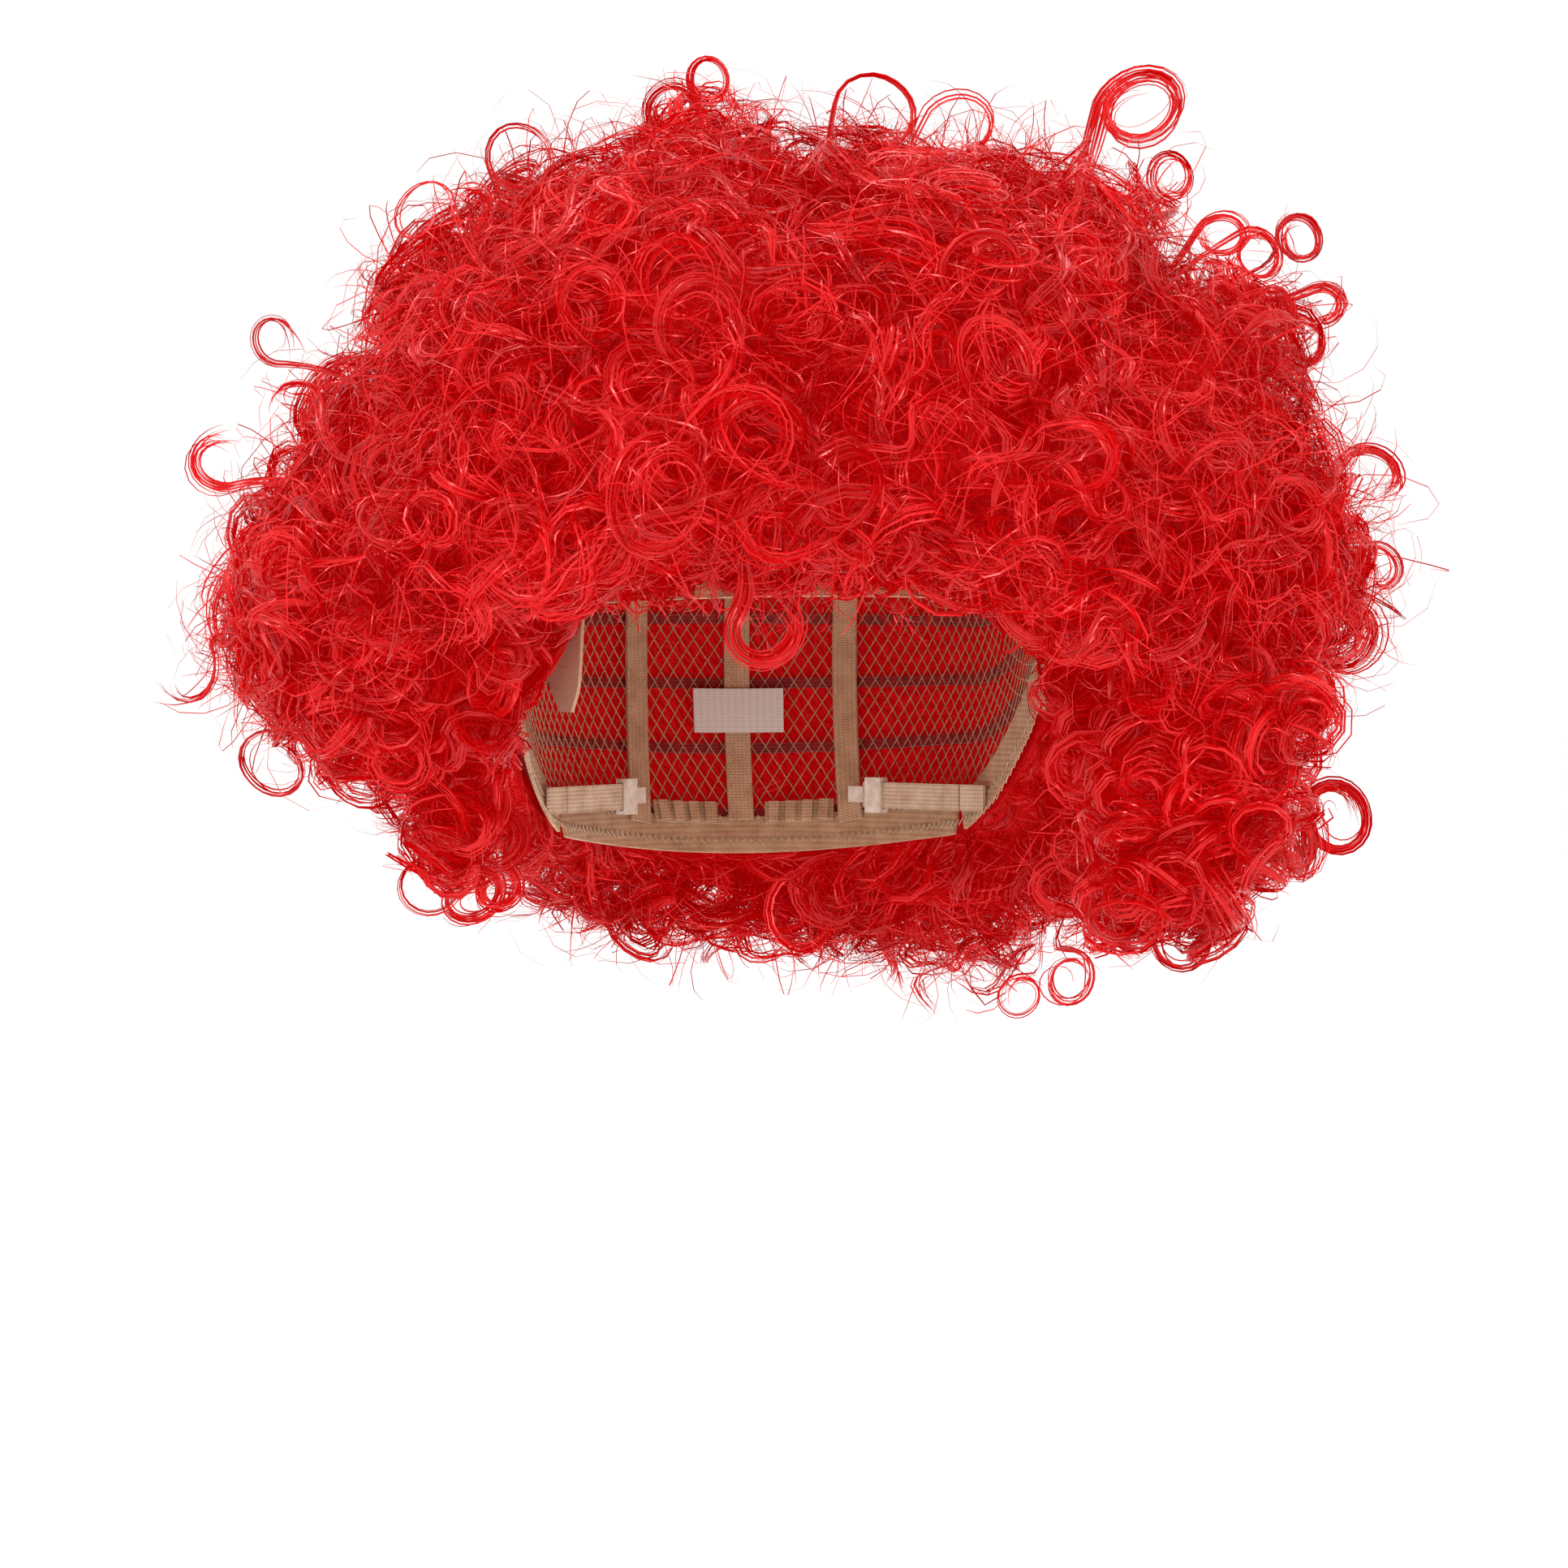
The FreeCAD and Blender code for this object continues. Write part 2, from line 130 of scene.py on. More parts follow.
def new_geometry_tree(name, sockets):
    """A geometry tree with its inputs (name, socket type, default), its group input and its group output."""
    tree = bpy.data.node_groups.new(name, "GeometryNodeTree")
    tree.interface.new_socket("Geometry", in_out="INPUT", socket_type="NodeSocketGeometry")
    for socket_name, socket_type, default in sockets:
        socket = tree.interface.new_socket(socket_name, in_out="INPUT", socket_type=socket_type)
        if default is not None:
            socket.default_value = default
    tree.interface.new_socket("Geometry", in_out="OUTPUT", socket_type="NodeSocketGeometry")
    return tree, add_node(tree, "NodeGroupInput"), add_node(tree, "NodeGroupOutput")


def finish_geometry(tree, shape, entry, leave):
    """The last nodes of every geometry tree: smooth shading, real geometry and its material."""
    shape = add_node(tree, "GeometryNodeSetShadeSmooth", links={"Geometry": shape})
    shape = add_node(tree, "GeometryNodeRealizeInstances", links={"Geometry": shape})
    links = {"Geometry": shape, "Material": entry.outputs["Material"]}
    painted = add_node(tree, "GeometryNodeSetMaterial", links=links)
    tree.links.new(painted.outputs["Geometry"], leave.inputs["Geometry"])


def face_outwards(mesh):
    """Turns every face of a closed mesh to point out of it."""
    work = bmesh.new()
    work.from_mesh(mesh)
    bmesh.ops.recalc_face_normals(work, faces=work.faces)
    work.to_mesh(mesh)
    work.free()


def grow(name, mesh, tree, values):
    """The plain mesh object that a geometry tree makes from a mesh, its inputs set by their identifiers."""
    source = link_object(name + "_source", mesh)
    modifier = source.modifiers.new("grow", "NODES")
    modifier.node_group = tree
    identifiers = {s.name: s.identifier for s in tree.interface.items_tree if s.in_out == "INPUT"}
    for socket_name, value in values.items():
        modifier[identifiers[socket_name]] = value
    depsgraph = bpy.context.evaluated_depsgraph_get()
    result = bpy.data.meshes.new_from_object(source.evaluated_get(depsgraph))
    result.name = name
    bpy.data.objects.remove(source)
    return link_object(name, result)


# ---------------------------------------------------------------- the head and the hair's outline

HEAD_HALF_WIDTH = 0.077
HEAD_HALF_LENGTH = 0.096
HEAD_RISE = 0.082
HEAD_DROP = 0.120
HAIR_LAYER = 0.0056

# The front view looks a little from the wearer's right
FRONT_AZIMUTH = -9.0
FRONT_ELEVATION = 2.0
FRONT_TARGET = Vector((0.0, 0.0, -0.040))
FRONT_SPAN = 0.464
FRONT_LENS = 100.0
SENSOR_WIDTH = 36.0

# Outline of the dense hair seen from the front: angle (0 at the wearer's left, 90 at the crown), and share of
# the CAD hair's own reach
OUTLINE = (
    (-180, 0.99), (-172, 0.93), (-160, 0.84), (-130, 0.84), (-100, 1.00), (-40, 1.00), (-31, 0.93),
    (-25, 0.88), (-18, 0.96), (-10, 0.88), (-4, 0.94), (4, 0.99), (11, 1.02), (18, 1.03), (25, 0.98),
    (31, 1.03), (36, 1.05), (42, 0.94), (46, 0.94), (51, 1.02), (57, 1.00), (63, 1.01), (70, 0.98),
    (78, 0.99), (84, 0.95), (89, 0.87), (94, 0.97), (100, 1.03), (105, 1.00), (112, 0.96), (120, 0.95),
    (127, 0.92), (134, 0.96), (140, 0.90), (146, 0.86), (151, 0.90), (158, 0.88), (166, 0.97),
    (172, 1.00), (180, 0.99),
)
OUTLINE_START = 0.090
OUTLINE_FULL = 0.145

# Lowest dense hair seen from the front: across from the middle, height
LOWER_EDGE = (
    (-0.190, 0.012), (-0.172, -0.002), (-0.155, -0.014), (-0.130, -0.024), (-0.114, -0.034),
    (-0.104, -0.050), (-0.090, -0.062), (-0.076, -0.070), (-0.070, -0.120), (0.066, -0.120),
    (0.072, -0.086), (0.098, -0.088), (0.120, -0.078), (0.138, -0.054), (0.152, -0.038),
    (0.166, -0.016), (0.178, 0.008), (0.190, 0.024),
)

# Hairline over the face: across from the middle, height
HAIRLINE = (
    (-0.090, -0.070), (-0.080, -0.044), (-0.072, -0.020), (-0.066, -0.006), (-0.060, 0.006),
    (-0.052, 0.010), (-0.036, 0.011), (-0.026, 0.007), (-0.014, 0.003), (0.000, 0.004), (0.012, 0.000),
    (0.020, 0.003), (0.030, 0.010), (0.040, 0.014), (0.050, 0.011), (0.057, 0.007), (0.062, -0.002),
    (0.068, -0.012), (0.074, -0.028), (0.081, -0.046), (0.086, -0.080),
)
FACE_DEPTH = -0.010

# How far loose hair may stand beyond the CAD box: a share of the box's size, and a length
REACH_SHARE = 0.03
REACH_MORE = 0.0095

# The hair takes its tufts from this far out of the middle, fully so further out by the second length
TUFT_START = 0.095
TUFT_DEPTH = 0.035


def direction(azimuth, elevation):
    """A unit direction from an azimuth (0 at +X, 90 at the nape) and an elevation, in degrees."""
    a, e = math.radians(azimuth), math.radians(elevation)
    return Vector((math.cos(e) * math.cos(a), math.cos(e) * math.sin(a), math.sin(e)))


def front_back():
    """The direction from the object back to the front view's eye."""
    return direction(FRONT_AZIMUTH - 90.0, FRONT_ELEVATION)


ACROSS = np.array(direction(FRONT_AZIMUTH, 0.0))


def unit(vectors):
    return vectors / np.maximum(np.linalg.norm(vectors, axis=-1, keepdims=True), 1e-12)


def seen(points, table):
    """A table's second value at each point's place across the front view."""
    return np.interp(points @ ACROSS, [row[0] for row in table], [row[1] for row in table])


def smooth(x):
    x = np.clip(x, 0.0, 1.0)
    return x * x * (3.0 - 2.0 * x)


def turn_between(azimuth, other):
    """Degrees from one azimuth round to another, from -180 to 180."""
    return (azimuth - other + 180.0) % 360.0 - 180.0


def head_radius(ways):
    """Distance from the middle of the head to its surface, along unit directions."""
    half_z = np.where(ways[..., 2] >= 0, HEAD_RISE, HEAD_DROP)
    x, y, z = ways[..., 0] / HEAD_HALF_WIDTH, ways[..., 1] / HEAD_HALF_LENGTH, ways[..., 2] / half_z
    return 1.0 / np.sqrt(x**2 + y**2 + z**2)


# Room that the hair leaves for the ear tabs: their swing for each metre below the seam, the share of a tab's
# height past which it swings no further, a gap, and how wide in degrees and how low in metres it fades
EAR_TABS = [[np.array(corner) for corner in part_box(f"ear_tab_{side}")] for side in ("left", "right")]
TAB_SWING = 0.64
TAB_SWING_SHARE = 0.85
TAB_GAP = 0.0015
TAB_HALF_WIDTH = 10.0
TAB_FADE = 7.0
TAB_FADE_LOW = 0.010


def room_for_tabs(points):
    """How far out of the cap each point has to stay for the ear tabs to swing behind it."""
    azimuths = np.degrees(np.arctan2(points[..., 1], points[..., 0]))
    room = np.zeros(azimuths.shape)
    for low, high in EAR_TABS:
        middle = (low + high) / 2
        aside = np.abs(turn_between(azimuths, math.degrees(math.atan2(middle[1], middle[0]))))
        drop = high[2] - low[2]
        depth = high[2] - points[..., 2]
        swing = TAB_SWING * np.clip(depth, 0.0, TAB_SWING_SHARE * drop) + TAB_GAP
        fade = smooth((TAB_HALF_WIDTH + TAB_FADE - aside) / TAB_FADE)
        fade = fade * smooth((drop + TAB_FADE_LOW - depth) / TAB_FADE_LOW)
        room = np.maximum(room, swing * fade * (depth > 0.0))
    return room


def off_the_head(points, layer=HAIR_LAYER):
    """The same points, those inside the hair's layer or in an ear tab's way moved out of it."""
    radius = np.linalg.norm(points, axis=-1)
    ways = points / np.maximum(radius, 1e-9)[..., None]
    least = head_radius(ways) + layer + room_for_tabs(points)
    return ways * np.maximum(radius, least)[..., None]


def within_reach(points):
    """The same points, none further out than loose hair may stand beyond the CAD box."""
    low, high = (np.array(corner) for corner in CAD_BOX)
    reach = REACH_SHARE * (high - low) + REACH_MORE
    return np.clip(points, low - reach, high + reach)


def over_the_face(points):
    """Whether each point hangs in front of the face below the hairline."""
    return (points[..., 1] < FACE_DEPTH) & (points[..., 2] < seen(points, HAIRLINE)) & (
        np.abs(points @ ACROSS) < HAIRLINE[-1][0]
    )


def lump(point, size):
    """Smooth noise from -1 to 1 that swells and parts the mass of hair."""
    return noise.noise(Vector(point) / size + Vector((7.3, 1.9, 4.1)))


def shaped(points, settings):
    """Points of the CAD hair moved so that the outline has its own shape, tufts and hollows."""
    rise, run = points[:, 2], points @ ACROSS
    spread = np.hypot(rise, run)
    angle = np.degrees(np.arctan2(rise, run))
    share = np.interp(angle, [row[0] for row in OUTLINE], [row[1] for row in OUTLINE])
    weight = smooth((spread - OUTLINE_START) / (OUTLINE_FULL - OUTLINE_START))
    moved = points * (1.0 + (share - 1.0) * weight)[:, None]
    size = settings.tuft_size
    swell = np.array([lump(p, size) + 0.5 * lump(p, size / 2) for p in moved])
    depth = smooth((np.linalg.norm(moved, axis=1) - TUFT_START) / TUFT_DEPTH)
    return moved + unit(moved) * (settings.tuft_height * (swell - 0.55) * depth)[:, None]


def mesh_arrays(obj):
    """A node's corner points and triangles as arrays."""
    mesh = obj.data
    points = np.empty(len(mesh.vertices) * 3, np.float32)
    mesh.vertices.foreach_get("co", points)
    mesh.calc_loop_triangles()
    triangles = np.empty(len(mesh.loop_triangles) * 3, np.int32)
    mesh.loop_triangles.foreach_get("vertices", triangles)
    return points.reshape(-1, 3).astype(float), triangles.reshape(-1, 3)


def hair_skin():
    """All the CAD hair's surfaces, for casting rays at."""
    points, triangles, start = [], [], 0
    for name in HAIR_NODES:
        own_points, own_triangles = mesh_arrays(NODES[name])
        points.append(own_points)
        triangles.append(own_triangles + start)
        start += len(own_points)
    return BVHTree.FromPolygons(np.concatenate(points).tolist(), np.concatenate(triangles).tolist())


def hair_radius(skin, way, far=0.4, near=0.08):
    """Distance from the middle of the head to the outside of the CAD hair, past the gaps between rows."""
    for lift in (0.0, 0.02, -0.02, 0.05):
        aim = Vector((way[0], way[1], way[2] + lift)).normalized()
        hit = skin.ray_cast(aim * far, -aim)
        if hit[3] is not None and far - hit[3] > near:
            return far - hit[3]
    return near


def azimuth_of(points):
    return np.degrees(np.arctan2(points[:, 1], points[:, 0]))


def lower_edge_of(points, half_window=6.0, columns=72):
    """Azimuths round the head, and the lowest elevation that some points reach near each."""
    azimuths = azimuth_of(points)
    elevations = np.degrees(np.arcsin(unit(points)[:, 2]))
    places = np.linspace(-180.0, 180.0, columns + 1)
    lows = []
    for place in places:
        near = np.abs(turn_between(azimuths, place)) < half_window
        lows.append(elevations[near].min())
    return places, np.array(lows)


# How squarely a face has to look out of the wig to be dressed with hair
LOOKS_OUT = 0.35


def exposed_patches(name):
    """Triangles of a hair node that face out of the wig, as corner points, normals and areas."""
    points, triangles = mesh_arrays(NODES[name])
    corners = points[triangles]
    cross = np.cross(corners[:, 1] - corners[:, 0], corners[:, 2] - corners[:, 0])
    length = np.linalg.norm(cross, axis=1)
    good = length > 1e-14
    corners, cross, length = corners[good], cross[good], length[good]
    normals = cross / length[:, None]
    radial = unit(corners.mean(axis=1))
    outward = np.einsum("ij,ij->i", normals, radial)
    keep = outward > LOOKS_OUT
    if name == HAIR_ROWS[0]:
        level = np.array((0.0, 0.0, 1.0)) - radial * radial[:, 2:]
        keep |= (np.einsum("ij,ij->i", normals, level) < -0.3) & (outward > -0.85)
    return corners[keep], normals[keep], length[keep] / 2


def scatter(rng, name, per_square_dm, settings):
    """Places spread evenly over a hair node's exposed faces, shaped to the outline, and the ways out."""
    corners, normals, areas = exposed_patches(name)
    count = int(areas.sum() * 100 * per_square_dm)
    order = np.lexsort((corners[:, 0, 2].round(3), np.arctan2(corners[:, 0, 1], corners[:, 0, 0]).round(1)))
    total = np.cumsum(areas[order])
    marks = (np.arange(count) + rng.random(count)) / count * total[-1]
    chosen = order[np.minimum(np.searchsorted(total, marks), len(order) - 1)]
    u, v = rng.random((2, count))
    flip = u + v > 1
    u[flip], v[flip] = 1 - u[flip], 1 - v[flip]
    c = corners[chosen]
    points = c[:, 0] + (c[:, 1] - c[:, 0]) * u[:, None] + (c[:, 2] - c[:, 0]) * v[:, None]
    points, normals = shaped(points, settings), normals[chosen]
    keep = (points[:, 2] > seen(points, LOWER_EDGE)) & ~over_the_face(points)
    return points[keep], normals[keep]


# ---------------------------------------------------------------- strands


# Shares of a lock, and of a single fibre, that may hang over the face
LOCK_OVER_FACE = 0.12
FIBRE_OVER_FACE = 0.2

# How far fibres wander from their lock, lie above or below it, and fray at its tip
WANDER = 0.00035
LIFT = 0.00045
FRAY = 0.02
TIP_START = 0.8

# Points on each wave of a crimped lock
WAVE_STEPS = 9.5


class Tresses:
    """Centre lines of ribbons of fibre, gathered for one piece."""

    def __init__(self):
        self.blocks = []

    def add(self, points, sides, half_widths, tones):
        """Adds strands, as arrays of strand by point: places, width directions, half widths and tones."""
        points = within_reach(off_the_head(points))
        if over_the_face(points).mean() < LOCK_OVER_FACE:
            self.blocks.append((points, sides, half_widths, tones))

    def add_free(self, points, sides, half_widths, tones, layer=HAIR_LAYER):
        """Adds strands that may hang over the face, at a layer of their own off the head."""
        self.blocks.append((within_reach(off_the_head(points, layer)), sides, half_widths, tones))

    def add_each(self, points, sides, half_widths, tones):
        """Adds those single fibres that keep clear of the face."""
        points = within_reach(off_the_head(points))
        keep = over_the_face(points).mean(axis=1) < FIBRE_OVER_FACE
        if keep.any():
            self.blocks.append((points[keep], sides[keep], half_widths[keep], tones[keep]))

    def triangles(self):
        return sum(2 * points.shape[0] * (points.shape[1] - 1) for points, *_ in self.blocks)

    def sectors(self, count):
        """The same tresses parted into sectors round the head, the first at the front."""
        parts = [Tresses() for _ in range(count)]
        for block in self.blocks:
            middle = block[0].reshape(-1, 3).mean(axis=0)
            turn = (math.degrees(math.atan2(middle[1], middle[0])) + 90.0 + 180.0 / count) % 360.0
            parts[int(turn / 360.0 * count) % count].blocks.append(block)
        return parts

    def mesh(self, name):
        """A mesh of bare edges along every strand, with the ribbons' measures as point attributes."""
        places, sides, widths, tones, alongs, edges, start = [], [], [], [], [], [], 0
        for points, side, half, tone in self.blocks:
            strands, steps = points.shape[:2]
            index = start + np.arange(strands * steps).reshape(strands, steps)
            edges.append(np.stack([index[:, :-1], index[:, 1:]], -1).reshape(-1, 2))
            places.append(points.reshape(-1, 3))
            sides.append(np.broadcast_to(side, points.shape).reshape(-1, 3))
            widths.append(np.broadcast_to(half, (strands, steps)).ravel())
            tones.append(np.repeat(tone, steps))
            alongs.append(np.tile(np.linspace(0, 1, steps), strands))
            start += strands * steps
        mesh = bpy.data.meshes.new(name)
        mesh.vertices.add(start)
        mesh.vertices.foreach_set("co", np.concatenate(places).astype(np.float32).ravel())
        joined = np.concatenate(edges)
        mesh.edges.add(len(joined))
        mesh.edges.foreach_set("vertices", joined.astype(np.int32).ravel())
        mesh.attributes.new("side", "FLOAT_VECTOR", "POINT").data.foreach_set(
            "vector", np.concatenate(sides).astype(np.float32).ravel()
        )
        for label, values in (("half_width", widths), ("tone", tones), ("along", alongs)):
            mesh.attributes.new(label, "FLOAT", "POINT").data.foreach_set(
                "value", np.concatenate(values).astype(np.float32)
            )
        mesh.update()
        return mesh


def crossways(axis):
    """Two unit directions square to an axis and to each other."""
    helper = np.array([0.0, 0.0, 1.0]) if abs(axis[2]) < 0.9 else np.array([1.0, 0.0, 0.0])
    first = unit(np.cross(axis, helper))
    return first, np.cross(axis, first)


def strands_along(rng, centre, hint, width, ribbon, tone, stray=0.15, packing=1.0):
    """Fibre ribbons side by side along a lock's centre line, some straying, all fraying out at the tip."""
    t = np.linspace(0.0, 1.0, len(centre))
    strands = max(1, int(round(width / ribbon * packing)))
    tangent = unit(np.gradient(centre, axis=0))
    across = unit(hint - tangent * np.einsum("ij,ij->i", hint, tangent)[:, None])
    thick = np.cross(tangent, across)
    place = (np.arange(strands) + 0.5) / strands - 0.5 + rng.normal(0, 0.25 / strands, strands)
    loose = np.where(rng.random(strands) < stray, rng.uniform(2.5, 6.0, strands), 1.0)[:, None]
    spread = (0.75 + 0.25 * np.sin(math.pi * t)) * (1 - 0.35 * t**4) * np.minimum(1.0, 0.4 + 3 * t)
    phase, pace = rng.uniform(0, 2 * math.pi, (2, strands, 1)), rng.uniform(4, 11, (strands, 1))
    wander = WANDER * loose * (0.4 + 1.6 * t) * np.sin(phase[0] + t * pace)
    sway = WANDER * loose * (0.4 + 1.6 * t) * np.sin(phase[1] + t * pace * 1.3)
    lift = rng.normal(0, LIFT, (strands, 1)) - 0.12 * width * (2 * place[:, None]) ** 2
    fray = np.maximum(0.0, t - TIP_START)[None, :, None] ** 1.5 * rng.normal(0, FRAY, (strands, 1, 3))
    points = centre + across * (place[:, None] * width * spread + wander)[..., None]
    points = points + thick * (lift + sway)[..., None] + fray
    tilt = rng.normal(0, 0.45, (strands, 1, 1)) + 1.1 * place[:, None, None]
    sides = np.cos(tilt) * across + np.sin(tilt) * thick
    taper = np.minimum(1.0, (1.02 - t) / 0.15) * np.minimum(1.0, 0.35 + t / 0.1)
    half = ribbon / 2 * np.clip(taper, 0.12, 1.0) * rng.uniform(0.75, 1.35, (strands, 1))
    return points, sides, half, np.clip(tone + rng.normal(0, 0.14, strands), 0, 1)


def coil_line(rng, base, axis, radius, turns, pitch, tip=0.7, steps=11):
    """Centre line of a coil that opens out from its base and closes at its tip, and the way out of it."""
    count = max(7, int(turns * steps) + 1)
    t = np.linspace(0.0, 1.0, count)
    angle = rng.uniform(0, 2 * math.pi) + rng.choice((-1.0, 1.0)) * 2 * math.pi * turns * t
    opening = 0.4 + 0.6 * np.minimum(1.0, t / 0.3) ** 0.8
    around = radius * opening * (1 - (1 - tip) * t**2)
    rise = pitch * turns * (1 - (1 - t) ** 1.5)
    first, second = crossways(axis)
    out = np.cos(angle)[:, None] * first + np.sin(angle)[:, None] * second
    sway = rng.normal(0, 0.14 * radius, (2, 3))
    centre = base + axis * rise[:, None] + out * around[:, None]
    centre = centre + sway[0] * np.sin(t * 4.0)[:, None] + sway[1] * np.sin(t * 7.0 + 1.0)[:, None]
    return centre, out


def wave_line(rng, base, way, normal, length, swing, waves):
    """Centre line of a crimped lock that arches over the hair, and the way out of the hair along it."""
    count = max(8, int(waves * WAVE_STEPS) + 1)
    t = np.linspace(0.0, 1.0, count)
    aside = np.cross(way, normal)
    phase = rng.uniform(0, 2 * math.pi)
    bend = swing * np.sin(phase + 2 * math.pi * waves * t) * (0.5 + 0.8 * t)
    arch = 0.22 * length * np.sin(math.pi * (0.08 + 0.84 * t)) + 0.4 * swing * np.cos(phase + 5.0 * t)
    centre = base + way * (length * t)[:, None] + aside * bend[:, None] + normal * arch[:, None]
    return centre, np.broadcast_to(normal, centre.shape)


def loose_fibres(rng, bases, axes, radii, bows, rises, widths, tones, steps=6):
    """Single fibres, each bent round part of a circle and rising a little, all made at once."""
    t = np.linspace(0.0, 1.0, steps + 1)
    first = unit(np.cross(axes, rng.normal(0, 1, axes.shape)))
    second = np.cross(axes, first)
    angle = bows[:, None] * t
    line = np.sin(angle)[..., None] * axes[:, None] + (1 - np.cos(angle))[..., None] * first[:, None]
    points = bases[:, None] + radii[:, None, None] * line + (rises[:, None] * t)[..., None] * second[:, None]
    half = widths[:, None] / 2 * np.clip((1.03 - t) / 0.3, 0.2, 1.0)
    return points, second[:, None], half, tones


# ---------------------------------------------------------------- hair materials

# Painted glow: a red emission on the fibres, no lamp, that stands in for light passed on from fibre to fibre
# and keeps the hollows red
PAINTED_GLOW_COLOUR = linear("#FF0008")


def fibre_material(name, root, middle, tip, roughness=0.25):
    """Heat-curled acrylic fibre: saturated, with a coloured gleam along the strand, no two fibres alike, and
    large patches of painted shade.
    """
    material, tree, place = new_material(name)
    tone = add_node(tree, "ShaderNodeAttribute", attribute_name="tone").outputs["Fac"]
    along = add_node(tree, "ShaderNodeAttribute", attribute_name="along").outputs["Fac"]
    streak = {"Scale": 1 / (2.5 * MM), "Detail": 3.0, "Roughness": 0.6}
    streaks = add_node(tree, "ShaderNodeTexNoise", streak, {"Vector": place})
    # The second noise lays large random patches of painted shade, lighter and darker, in place of the shade
    # that falls between tufts of hair
    tufts = add_node(tree, "ShaderNodeTexNoise", {"Scale": 1 / (24 * MM), "Detail": 2.0}, {"Vector": place})
    paled = add_node(tree, "ShaderNodeMath", {1: 0.35}, {0: along, 2: tone}, operation="MULTIPLY_ADD")
    shade = add_node(tree, "ShaderNodeMath", {1: 0.74}, {0: paled}, operation="MULTIPLY")
    for pattern, share in ((streaks, 0.45), (tufts, 0.7)):
        mixed = {0: pattern, 2: shade}
        shade = add_node(tree, "ShaderNodeMath", {1: share}, mixed, operation="MULTIPLY_ADD")
    shade = add_node(tree, "ShaderNodeMath", {1: 0.56}, {0: shade}, operation="SUBTRACT")
    stops = [(0.0, root), (0.45, middle), (1.0, tip)]
    colour = add_node(tree, "ShaderNodeValToRGB", links={"Fac": shade}, stops=stops)
    span = {"To Min": roughness + 0.12, "To Max": roughness - 0.08}
    gloss = add_node(tree, "ShaderNodeMapRange", span, {"Value": streaks})
    acrylic = {"IOR": 1.49, "Specular IOR Level": 0.42, "Metallic": 0.25}
    # Painted glow: a faint red emission that lifts the shaded hollows in place of light passed on between
    # fibres
    painted_glow = {"Emission Color": PAINTED_GLOW_COLOUR, "Emission Strength": 0.10}
    finish_material(tree, acrylic | painted_glow, {"Base Color": colour, "Roughness": gloss})
    return material


def matted_material(name, deep, middle, pale):
    """The thick of the hair: fibres lying every way, seen as crossed streaks, with painted shade darkening
    the hollows between them.
    """
    material, tree, place = new_material(name)
    lump_look = {"Scale": 1 / (9 * MM), "Detail": 5.0, "Roughness": 0.65, "Distortion": 0.6}
    lumps = add_node(tree, "ShaderNodeTexNoise", lump_look, {"Vector": place})
    fibre_look = {"Scale": 1 / (5 * MM), "Distortion": 9.0, "Detail": 3.0, "Detail Scale": 0.7}
    fibres = []
    for turn in ((0.4, 0.2, 0.9), (1.3, 0.8, 0.1)):
        turned = add_node(tree, "ShaderNodeMapping", {"Rotation": turn}, {"Vector": place})
        fibres.append(add_node(tree, "ShaderNodeTexWave", fibre_look, {"Vector": turned}).outputs["Fac"])
    crossed = add_node(tree, "ShaderNodeMath", links=dict(enumerate(fibres)), operation="MAXIMUM")
    # Painted shade: the colour darkens where the crossed streaks lie low, in the hollows that the bump makes
    # between them
    shade = add_node(tree, "ShaderNodeMath", links={0: crossed, 1: lumps}, operation="MULTIPLY")
    stops = [(0.05, deep), (0.4, middle), (0.8, pale)]
    colour = add_node(tree, "ShaderNodeValToRGB", links={"Fac": shade}, stops=stops)
    bump = add_node(tree, "ShaderNodeBump", {"Strength": 0.8, "Distance": 0.6 * MM}, {"Height": crossed})
    acrylic = {"Roughness": 0.62, "IOR": 1.49, "Specular IOR Level": 0.2, "Metallic": 0.1}
    # Painted glow: a stronger red emission that lifts the shaded thick of the hair in place of light passed
    # on between fibres
    painted_glow = {"Emission Color": PAINTED_GLOW_COLOUR, "Emission Strength": 0.16}
    finish_material(tree, acrylic | painted_glow, {"Base Color": colour, "Normal": bump})
    return material


def ribbon_tree(name):
    """Turns bare strand lines into flat ribbons that lie along their own width directions."""
    sockets = [("Width", "NodeSocketFloat", 1.0), ("Material", "NodeSocketMaterial", None)]
    tree, entry, leave = new_geometry_tree(name, sockets)
    curve = add_node(tree, "GeometryNodeMeshToCurve", links={"Mesh": entry})
    side = add_node(tree, "GeometryNodeInputNamedAttribute", {"Name": "side"}, data_type="FLOAT_VECTOR")
    aimed = {"Curve": curve, "Normal": side}
    turned = add_node(tree, "GeometryNodeSetCurveNormal", links=aimed, mode="FREE")
    half = add_node(tree, "GeometryNodeInputNamedAttribute", {"Name": "half_width"}, data_type="FLOAT")
    wide = {0: half, 1: entry.outputs["Width"]}
    scale = add_node(tree, "ShaderNodeMath", links=wide, operation="MULTIPLY")
    profile = add_node(tree, "GeometryNodeCurvePrimitiveLine", {"Start": (-1, 0, 0), "End": (1, 0, 0)})
    swept = {"Curve": turned, "Profile Curve": profile, "Scale": scale}
    finish_geometry(tree, add_node(tree, "GeometryNodeCurveToMesh", links=swept), entry, leave)
    return tree


# ---------------------------------------------------------------- the mass of hair


def lean(rng, normal, point, spread):
    """A growing direction: out of the wig, away from the head, a little down, and never quite straight."""
    return unit(0.8 * normal + 0.5 * unit(point) - np.array((0, 0, 0.18)) + rng.normal(0, spread, 3))


def lay_coil(rng, tresses, settings, coil, axis, rolls, widths, tones=(0.0, 1.0)):
    """Lays one coil's fibres, rolled by half turns round its line, at a share of the usual lock width."""
    line, out = coil
    roll = rng.uniform(*rolls) * math.pi
    hint = math.cos(roll) * axis + math.sin(roll) * out
    width = settings.lock_width * rng.uniform(*widths)
    tresses.add(*strands_along(rng, line, hint, width, settings.ribbon_width, rng.uniform(*tones)))


